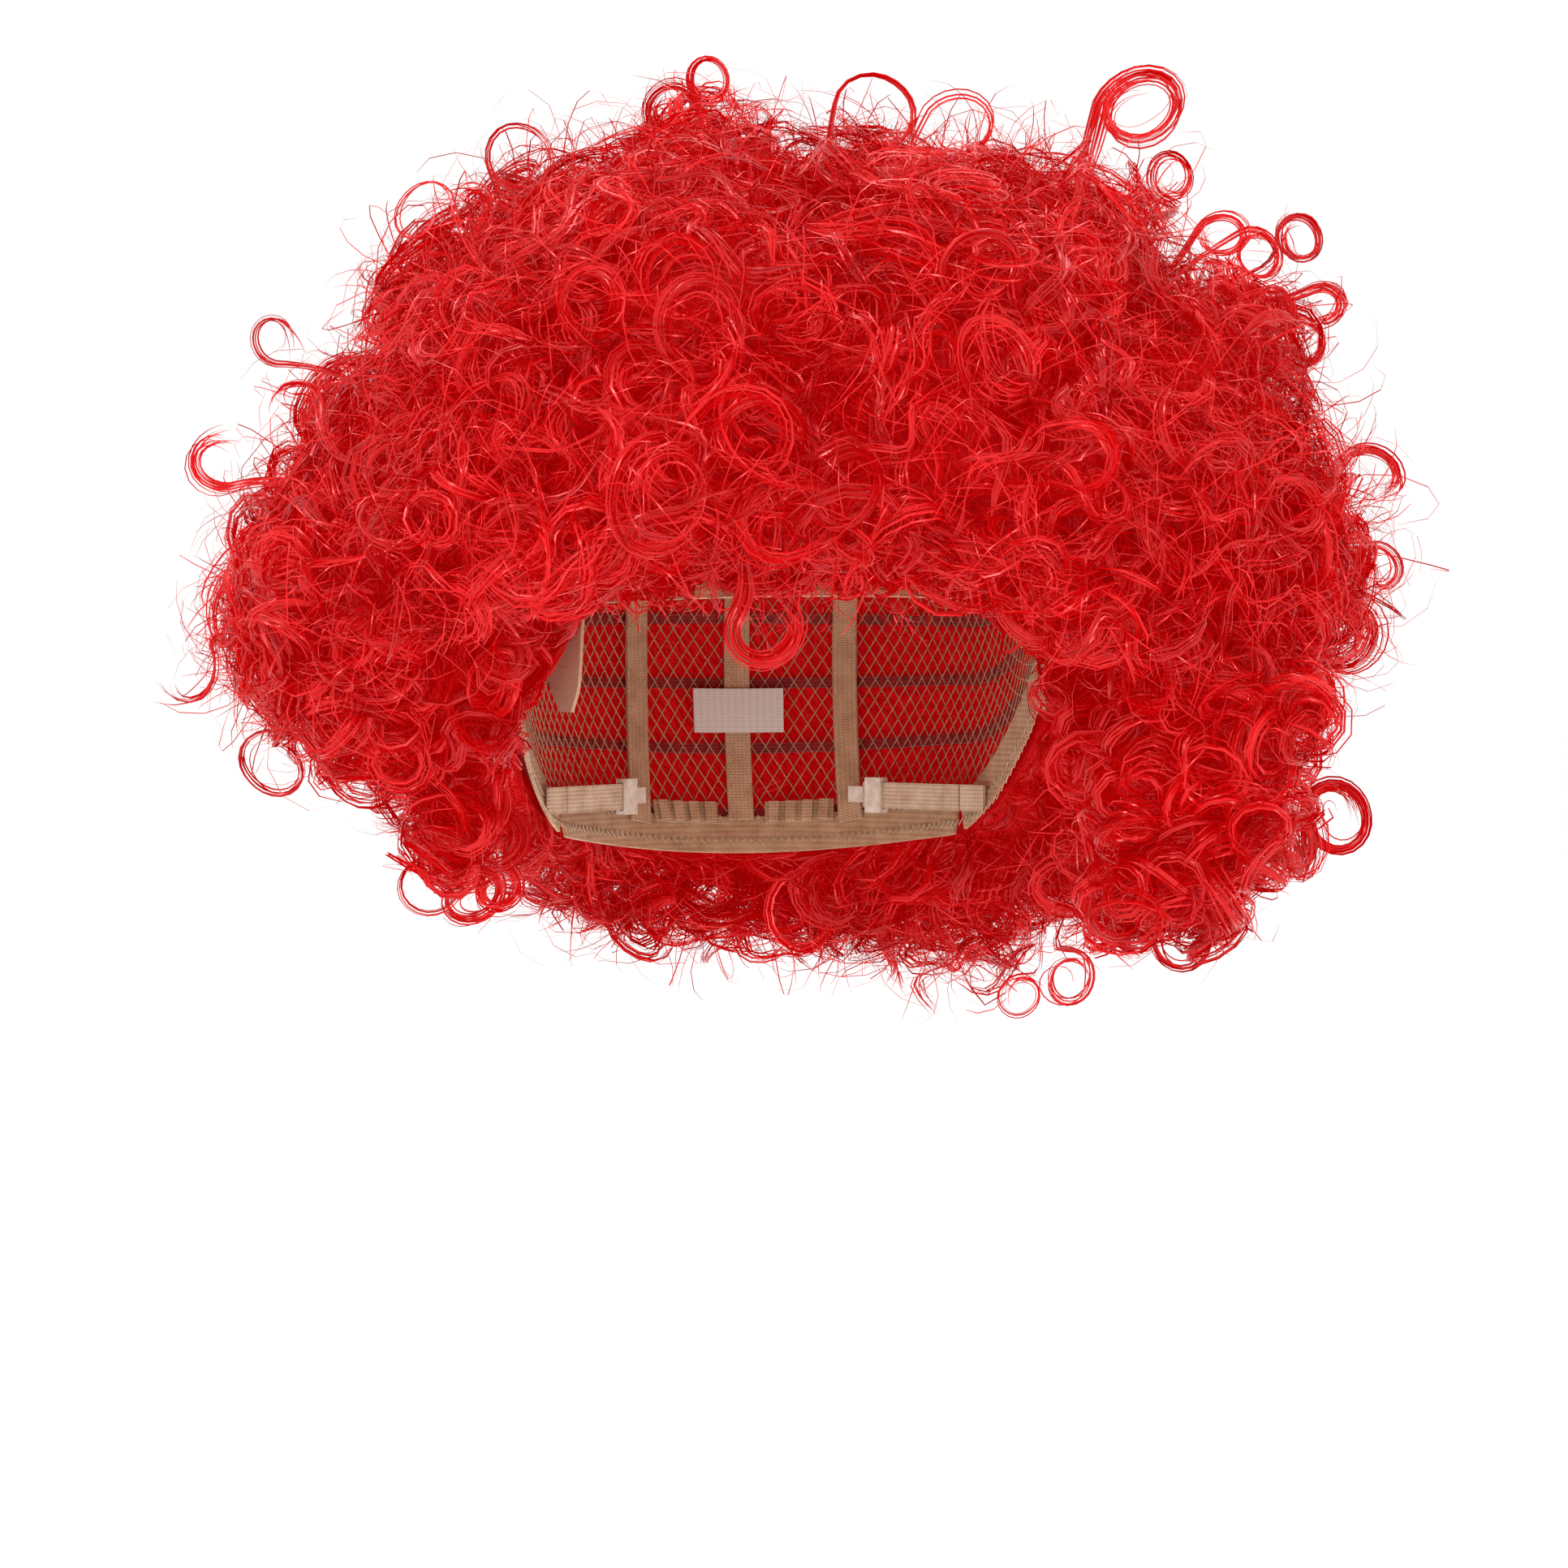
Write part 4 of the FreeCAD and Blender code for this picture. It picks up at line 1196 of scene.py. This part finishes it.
def grained_material(name, grain, stops, relief, finish, dulled=None):
    """A surface whose colour, relief and, between two roughnesses, gloss all follow one fine grain."""
    material, tree, place = new_material(name)
    noise_grain = add_node(tree, "ShaderNodeTexNoise", grain, {"Vector": place})
    links = {"Normal": add_node(tree, "ShaderNodeBump", relief, {"Height": noise_grain})}
    if stops:
        links["Base Color"] = add_node(tree, "ShaderNodeValToRGB", links={"Fac": noise_grain}, stops=stops)
    if dulled:
        links["Roughness"] = add_node(tree, "ShaderNodeMapRange", dulled, {"Value": noise_grain})
    finish_material(tree, finish, links)
    return material


def thread_material(name, light, dark):
    """Spun thread: twist marks too fine to part, seen as an uneven matt colour."""
    grain = {"Scale": 1 / (0.9 * MM), "Detail": 2.0}
    relief = {"Strength": 0.5, "Distance": 0.1 * MM}
    return grained_material(
        name, grain, [(0.3, dark), (0.7, light)], relief, {"Roughness": 0.6, "Sheen Weight": 0.15}
    )


def felt_material(name, light, dark):
    """Needled felt: short fibres pressed flat every way, matt with a soft nap."""
    grain = {"Scale": 1 / (0.8 * MM), "Detail": 6.0, "Roughness": 0.7, "Distortion": 2.5}
    relief = {"Strength": 0.8, "Distance": 0.3 * MM}
    nap = {"Roughness": 0.92, "Sheen Weight": 0.4, "Sheen Roughness": 0.5}
    return grained_material(name, grain, [(0.3, dark), (0.7, light)], relief, nap)


def acetal_material(name, light, dark):
    """Injection-moulded acetal: smooth and waxy, faintly cloudy, with dull patches where it is handled."""
    clouds = {"Scale": 1 / (3 * MM), "Detail": 3.0}
    relief = {"Strength": 0.2, "Distance": 0.05 * MM}
    wax = {"IOR": 1.48, "Subsurface Weight": 0.15, "Subsurface Scale": 1.0 * MM}
    dulled = {"To Min": 0.22, "To Max": 0.42}
    return grained_material(name, clouds, [(0.35, dark), (0.65, light)], relief, wax, dulled)


def paper_material(name):
    """Seamless white studio paper: matt, bright and even, with a faint grain."""
    grain = {"Scale": 1 / (4 * MM), "Detail": 2.0}
    relief = {"Strength": 0.05, "Distance": 0.1 * MM}
    matt = {"Base Color": (1, 1, 1, 1), "Roughness": 0.95, "Specular IOR Level": 0.1}
    return grained_material(name, grain, None, relief, matt)


def dress(names, material):
    """Puts one material on some CAD nodes."""
    for name in names:
        mesh = NODES[name].data
        mesh.materials.clear()
        mesh.materials.append(material)


# ---------------------------------------------------------------- settings


def length(title, words, default):
    return bpy.props.FloatProperty(name=title, description=words, default=default, unit="LENGTH")


def amount(title, words, default, **more):
    return bpy.props.FloatProperty(name=title, description=words, default=default, **more)


def colour_code(title, words, default):
    return bpy.props.StringProperty(name=title, description=words, default=default)


class WigHair(bpy.types.PropertyGroup):
    """Sizes and colours of the coiled hair."""

    seed: bpy.props.IntProperty(name="Seed", description="Start of everything random", default=11)
    curl_diameter: length("Curl Diameter", "Usual width across a curl", 0.022)
    lock_width: length("Lock Width", "Usual width of one lock of fibres", 0.0040)
    ribbon_width: length("Ribbon Width", "Width of each ribbon of fibres in a lock", 0.00046)
    tuft_size: length("Tuft Size", "Distance from one tuft to the next", 0.048)
    tuft_height: length("Tuft Height", "How far tufts stand out of the mass", 0.010)
    thick_share: amount(
        "Thick Share", "How far out the matted thick of the hair reaches", 0.67, subtype="FACTOR"
    )
    coils_per_dm2: amount("Coils", "Coiled locks on a square decimetre", 80)
    waves_per_dm2: amount("Waves", "Crimped locks on a square decimetre", 74)
    rings_per_dm2: amount("Rings", "Flat ring curls on a square decimetre", 4)
    frizz_per_dm2: amount("Frizz", "Loose fibres on a square decimetre", 1100)
    strays_per_dm2: amount("Strays", "Long stray fibres on a square decimetre", 22)
    hairline_step: amount("Hairline Step", "Degrees round the rim from one tight curl to the next", 1.6)
    fibre_deep: colour_code("Deep Red", "Colour of the darkest fibres", "#A00003")
    fibre_middle: colour_code("Red", "Usual colour of the fibres", "#C40205")
    fibre_tip: colour_code("Bright Red", "Colour of the palest fibres", "#E20D12")


class WigCap(bpy.types.PropertyGroup):
    """Sizes and colours of the cap, its tapes and its adjusters."""

    net_threads: bpy.props.IntProperty(
        name="Net Threads", description="Threads of each winding that start at the rim", default=132
    )
    net_thickness: length("Net Thread", "Thickness of the net's threads", 0.00045)
    stitch_length: length("Stitch Length", "From one zig of the rim's stitching to the next", 0.0024)
    net_light: colour_code("Net", "Colour of the net", "#D8AE86")
    net_dark: colour_code("Net Shade", "Darker colour of the net", "#A87C56")
    tape_light: colour_code("Tape", "Colour of the elastic", "#DDB68E")
    tape_dark: colour_code("Tape Shade", "Darker colour of the elastic", "#A97F58")
    weft_light: colour_code("Weft", "Colour of the sewn wefts", "#B4141A")
    weft_dark: colour_code("Weft Shade", "Darker colour of the wefts", "#6E060A")


# ---------------------------------------------------------------- operators

SECTORS = {1: ("",), 2: ("_front", "_back"), 4: ("_front", "_left", "_back", "_right")}
MOST_TRIANGLES = 165000
CURLS_SEED, FRIZZ_SEED, PLACED_SEED = 0, 100, 200


def shared(made, name, make, *values):
    """The tree or material of that name, made the first time that it is asked for."""
    return made.get(name) or make(name, *values)


def hair_part(context, name, tresses):
    """One piece of hair grown from its strands, riding on the cap."""
    hair = context.scene.wig_hair
    ribbons = shared(bpy.data.node_groups, "Fibre ribbons", ribbon_tree)
    reds = (hair.fibre_deep, hair.fibre_middle, hair.fibre_tip)
    fibre = shared(bpy.data.materials, "Heat-curled acrylic fibre", fibre_material, *reds)
    piece = grow(name, tresses.mesh(name), ribbons, {"Material": fibre})
    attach(piece, "cap")
    return piece


def thread_part(name, lines, thickness, sides, material):
    """Threads along some lines, riding on the cap."""
    threads = shared(bpy.data.node_groups, "Round threads", thread_tree)
    values = {"Thickness": thickness, "Sides": sides, "Material": material}
    piece = grow(name, edge_mesh(name, lines), threads, values)
    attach(piece, "cap")
    return piece


def sewn_threads(name, lines):
    """Stitches of sewing thread along some lines."""
    colours = ("#EED6B8", "#C9A27C")
    spun = shared(bpy.data.materials, "Spun polyester thread", thread_material, *colours)
    thread_part(name, lines, 0.0004, 4, spun)


class WIG_OT_curl_rows(bpy.types.Operator):
    """Grow each row's coiled, crimped and ringed locks over its weft"""

    bl_idname = "wig.curl_rows"
    bl_label = "Curl Rows"

    def execute(self, context):
        hair = context.scene.wig_hair
        for index, name in enumerate(HAIR_NODES):
            rng = np.random.default_rng(hair.seed + CURLS_SEED + index)
            tresses = Tresses()
            for kind in (coiled_locks, waved_locks, ring_locks):
                tresses.blocks += kind(rng, name, hair).blocks
            count = next(n for n in SECTORS if n == 4 or tresses.triangles() < n * MOST_TRIANGLES)
            word = name.replace("hair_", "curls_")
            for part, ending in zip(tresses.sectors(count), SECTORS[count]):
                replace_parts(hair_part(context, word + ending, part), name)
        return {"FINISHED"}


class WIG_OT_frizz(bpy.types.Operator):
    """Scatter the loose single fibres through each row and just above it"""

    bl_idname = "wig.frizz"
    bl_label = "Frizz"

    def execute(self, context):
        hair = context.scene.wig_hair
        for index, name in enumerate(HAIR_NODES):
            rng = np.random.default_rng(hair.seed + FRIZZ_SEED + index)
            tresses = frizz(rng, name, hair)
            tresses.blocks += stray_fibres(rng, name, hair).blocks
            hair_part(context, name.replace("hair_", "frizz_"), tresses)
        return {"FINISHED"}


class WIG_OT_under_hair(bpy.types.Operator):
    """Fill the thick of the hair with a lumpy matted shell"""

    bl_idname = "wig.under_hair"
    bl_label = "Under Hair"

    def execute(self, context):
        hair = context.scene.wig_hair
        piece = link_object("under_hair", under_hair_mesh(hair, hair_skin()))
        reds = (hair.fibre_deep, hair.fibre_middle, hair.fibre_tip)
        piece.data.materials.append(matted_material("Matted acrylic fibre", *reds))
        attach(piece, "cap")
        return {"FINISHED"}


class WIG_OT_placed_curls(bpy.types.Operator):
    """Set the curls with places of their own, the draped locks and the hairline's tight curls"""

    bl_idname = "wig.placed_curls"
    bl_label = "Placed Curls"

    def execute(self, context):
        hair = context.scene.wig_hair
        skin = hair_skin()
        rng = np.random.default_rng(hair.seed + PLACED_SEED)
        hair_part(context, "stray_curls", stray_curls(rng, skin, hair))
        hair_part(context, "draped_locks", draped_locks(rng, hair))
        hair_part(context, "forehead_curl", forehead_curl(rng, skin))
        bands = [mesh_arrays(NODES[name])[0] for name in RIM_BANDS]
        rim = lower_edge_of(np.concatenate(bands))
        hair_part(context, "hairline_curls", hairline_curls(rng, rim, hair))
        return {"FINISHED"}


def cloth_piece(name, node, body, material):
    """A piece of cloth with a CAD node's own shape, its corners merged, which stands for that node."""
    mesh = NODES[node].data.copy()
    mesh.name = name
    work = bmesh.new()
    work.from_mesh(mesh)
    bmesh.ops.remove_doubles(work, verts=work.verts, dist=1e-6)
    work.to_mesh(mesh)
    work.free()
    mesh.materials.clear()
    mesh.materials.append(material)
    mesh.polygons.foreach_set("use_smooth", [True] * len(mesh.polygons))
    mesh.set_sharp_from_angle(angle=math.radians(35.0))
    piece = link_object(name, mesh)
    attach(piece, body)
    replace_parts(piece, node)
    return piece


class WIG_OT_cap_net(bpy.types.Operator):
    """Knot the open net of the cap from real threads, and fit its crown patch"""

    bl_idname = "wig.cap_net"
    bl_label = "Cap Net"

    def execute(self, context):
        cap = context.scene.wig_cap
        nylon = thread_material("Knitted nylon net", cap.net_light, cap.net_dark)
        net = thread_part("net_threads", net_lines(cap), cap.net_thickness, 3, nylon)
        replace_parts(net, "crown_net")
        lining = felt_material("Bonded net lining", cap.net_light, cap.net_dark)
        patch = cloth_piece("patch_lining", "crown_patch", "cap", lining)
        return {"FINISHED"}


class WIG_OT_rim_bands(bpy.types.Operator):
    """Weave the elastic rim bands and sew their zigzags"""

    bl_idname = "wig.rim_bands"
    bl_label = "Rim Bands"

    def execute(self, context):
        cap = context.scene.wig_cap
        tans = (cap.tape_light, cap.tape_dark)
        dress(RIM_BANDS, woven_material("Woven rim elastic", *tans, "Z", 1.7 * MM, 0.9 * MM))
        sewn_threads("rim_stitches", zigzag_lines(cap))
        return {"FINISHED"}


class WIG_OT_inner_ribs(bpy.types.Operator):
    """Weave the three tapes that run over the head inside the cap"""

    bl_idname = "wig.inner_ribs"
    bl_label = "Inner Ribs"

    def execute(self, context):
        cap = context.scene.wig_cap
        tans = (cap.tape_light, cap.tape_dark)
        dress(RIBS, woven_material("Woven rib tape", *tans, "X", 1.3 * MM, 0.8 * MM))
        sewn_threads("rib_stitches", running_stitches(cap))
        return {"FINISHED"}


class WIG_OT_weft_tracks(bpy.types.Operator):
    """Finish the sewn tracks that the hair hangs from"""

    bl_idname = "wig.weft_tracks"
    bl_label = "Weft Tracks"

    def execute(self, context):
        cap = context.scene.wig_cap
        tracks = sorted(name for name in NODES if name.startswith("weft_track_")) + ["crown_swirl"]
        reds = (cap.weft_light, cap.weft_dark)
        dress(tracks, woven_material("Chain-stitched weft", *reds, "Z", 1.1 * MM, 2.2 * MM, 0.65))
        return {"FINISHED"}


class WIG_OT_ear_tabs(bpy.types.Operator):
    """Finish the felt ear tabs"""

    bl_idname = "wig.ear_tabs"
    bl_label = "Ear Tabs"

    def execute(self, context):
        cap = context.scene.wig_cap
        felt = felt_material("Needled felt", cap.tape_light, cap.tape_dark)
        for side in ("left", "right"):
            node = f"ear_tab_{side}"
            tab = cloth_piece(f"tab_felt_{side}", node, node, felt)
        return {"FINISHED"}


class WIG_OT_adjusters(bpy.types.Operator):
    """Finish the nape straps, their anchors, hooks and loop tapes"""

    bl_idname = "wig.adjusters"
    bl_label = "Nape Adjusters"

    def execute(self, context):
        cap = context.scene.wig_cap
        tans = (cap.tape_light, cap.tape_dark)
        strap = woven_material("Woven strap elastic", "#EBD3B6", "#B08A66", "Z", 1.2 * MM, 0.8 * MM)
        tape = woven_material("Woven loop tape", *tans, "Z", 1.0 * MM, 1.0 * MM)
        acetal = acetal_material("Moulded acetal", "#F3EADB", "#DCCDB6")
        for side in ("left", "right"):
            dress((f"adjuster_strap_{side}", f"strap_anchor_{side}"), strap)
            dress((f"loop_tape_{side}",), tape)
            dress((f"adjuster_hook_{side}",), acetal)
        return {"FINISHED"}


class WIG_OT_size_label(bpy.types.Operator):
    """Finish the blank satin label inside the nape"""

    bl_idname = "wig.size_label"
    bl_label = "Size Label"

    def execute(self, context):
        satin = satin_material("Satin label ribbon", "#F1ECE2", "#CFC6B6")
        label = cloth_piece("label_ribbon", "size_label", "cap", satin)
        return {"FINISHED"}


FLOOR_HEIGHT = -0.30
FLOOR_RADIUS = 12.0
FLOOR_SIDES = 64

# The studio lamps: place, size and power, each aimed at the middle of the wig
LAMPS = {
    "Key": ((-0.8, -1.2, 1.0), 0.25, 9),
    "Fill": ((1.0, -1.2, -0.4), 0.35, 15),
    "Top": ((0.1, 0.4, 1.5), 0.6, 6),
}


def floor_mesh():
    """A flat round floor under the wig."""
    mesh = bpy.data.meshes.new("floor")
    rim = [direction(360.0 * side / FLOOR_SIDES, 0.0) * FLOOR_RADIUS for side in range(FLOOR_SIDES)]
    mesh.from_pydata([(x, y, FLOOR_HEIGHT) for x, y, _ in rim], [], [tuple(range(FLOOR_SIDES))])
    return mesh


class WIG_OT_stage(bpy.types.Operator):
    """Set the pale floor, the soft studio light and the front camera"""

    bl_idname = "wig.stage"
    bl_label = "Stage"

    def execute(self, context):
        scene = context.scene
        world = bpy.data.worlds.new("Studio")
        scene.world = world
        world.use_nodes = True
        tree = world.node_tree
        tree.nodes.clear()
        background = add_node(tree, "ShaderNodeBackground", {"Color": (1, 1, 1, 1), "Strength": 1.0})
        add_node(tree, "ShaderNodeOutputWorld", links={"Surface": background})
        scene.view_settings.view_transform = "Standard"
        floor = link_object("floor", floor_mesh())
        floor.data.materials.append(paper_material("Studio paper"))
        for name, (place, size, power) in LAMPS.items():
            light = bpy.data.lights.new(name, "AREA")
            light.energy = power
            light.size = size
            lamp = bpy.data.objects.new(name, light)
            lamp.location = place
            lamp.rotation_euler = (-Vector(place)).to_track_quat("-Z", "Y").to_euler()
            scene.collection.objects.link(lamp)
        camera = bpy.data.cameras.new("Camera")
        camera.lens = FRONT_LENS
        camera.clip_start = 0.05
        eye = bpy.data.objects.new("Camera", camera)
        back = front_back()
        eye.location = FRONT_TARGET + back * (FRONT_SPAN * FRONT_LENS / SENSOR_WIDTH)
        eye.rotation_euler = (-back).to_track_quat("-Z", "Y").to_euler()
        scene.collection.objects.link(eye)
        scene.camera = eye
        return {"FINISHED"}


class WIG_PT_panel(bpy.types.Panel):
    """Lists the wig's steps in the sidebar"""

    bl_idname = "WIG_PT_panel"
    bl_label = "Curly Costume Wig"
    bl_space_type = "VIEW_3D"
    bl_region_type = "UI"
    bl_category = "Wig"

    def draw(self, context):
        for step in STEPS:
            self.layout.operator(step.bl_idname)


STEPS = (
    WIG_OT_stage,
    WIG_OT_cap_net,
    WIG_OT_rim_bands,
    WIG_OT_inner_ribs,
    WIG_OT_weft_tracks,
    WIG_OT_ear_tabs,
    WIG_OT_adjusters,
    WIG_OT_size_label,
    WIG_OT_under_hair,
    WIG_OT_curl_rows,
    WIG_OT_frizz,
    WIG_OT_placed_curls,
)
CLASSES = (WigHair, WigCap, *STEPS, WIG_PT_panel)


def register():
    for part in CLASSES:
        bpy.utils.register_class(part)
    bpy.types.Scene.wig_hair = bpy.props.PointerProperty(type=WigHair)
    bpy.types.Scene.wig_cap = bpy.props.PointerProperty(type=WigCap)


def unregister():
    del bpy.types.Scene.wig_cap
    del bpy.types.Scene.wig_hair
    for part in reversed(CLASSES):
        bpy.utils.unregister_class(part)


def main():
    register()
    for step in STEPS:
        family, word = step.bl_idname.split(".")
        getattr(getattr(bpy.ops, family), word)()


if __name__ == "__main__":
    main()
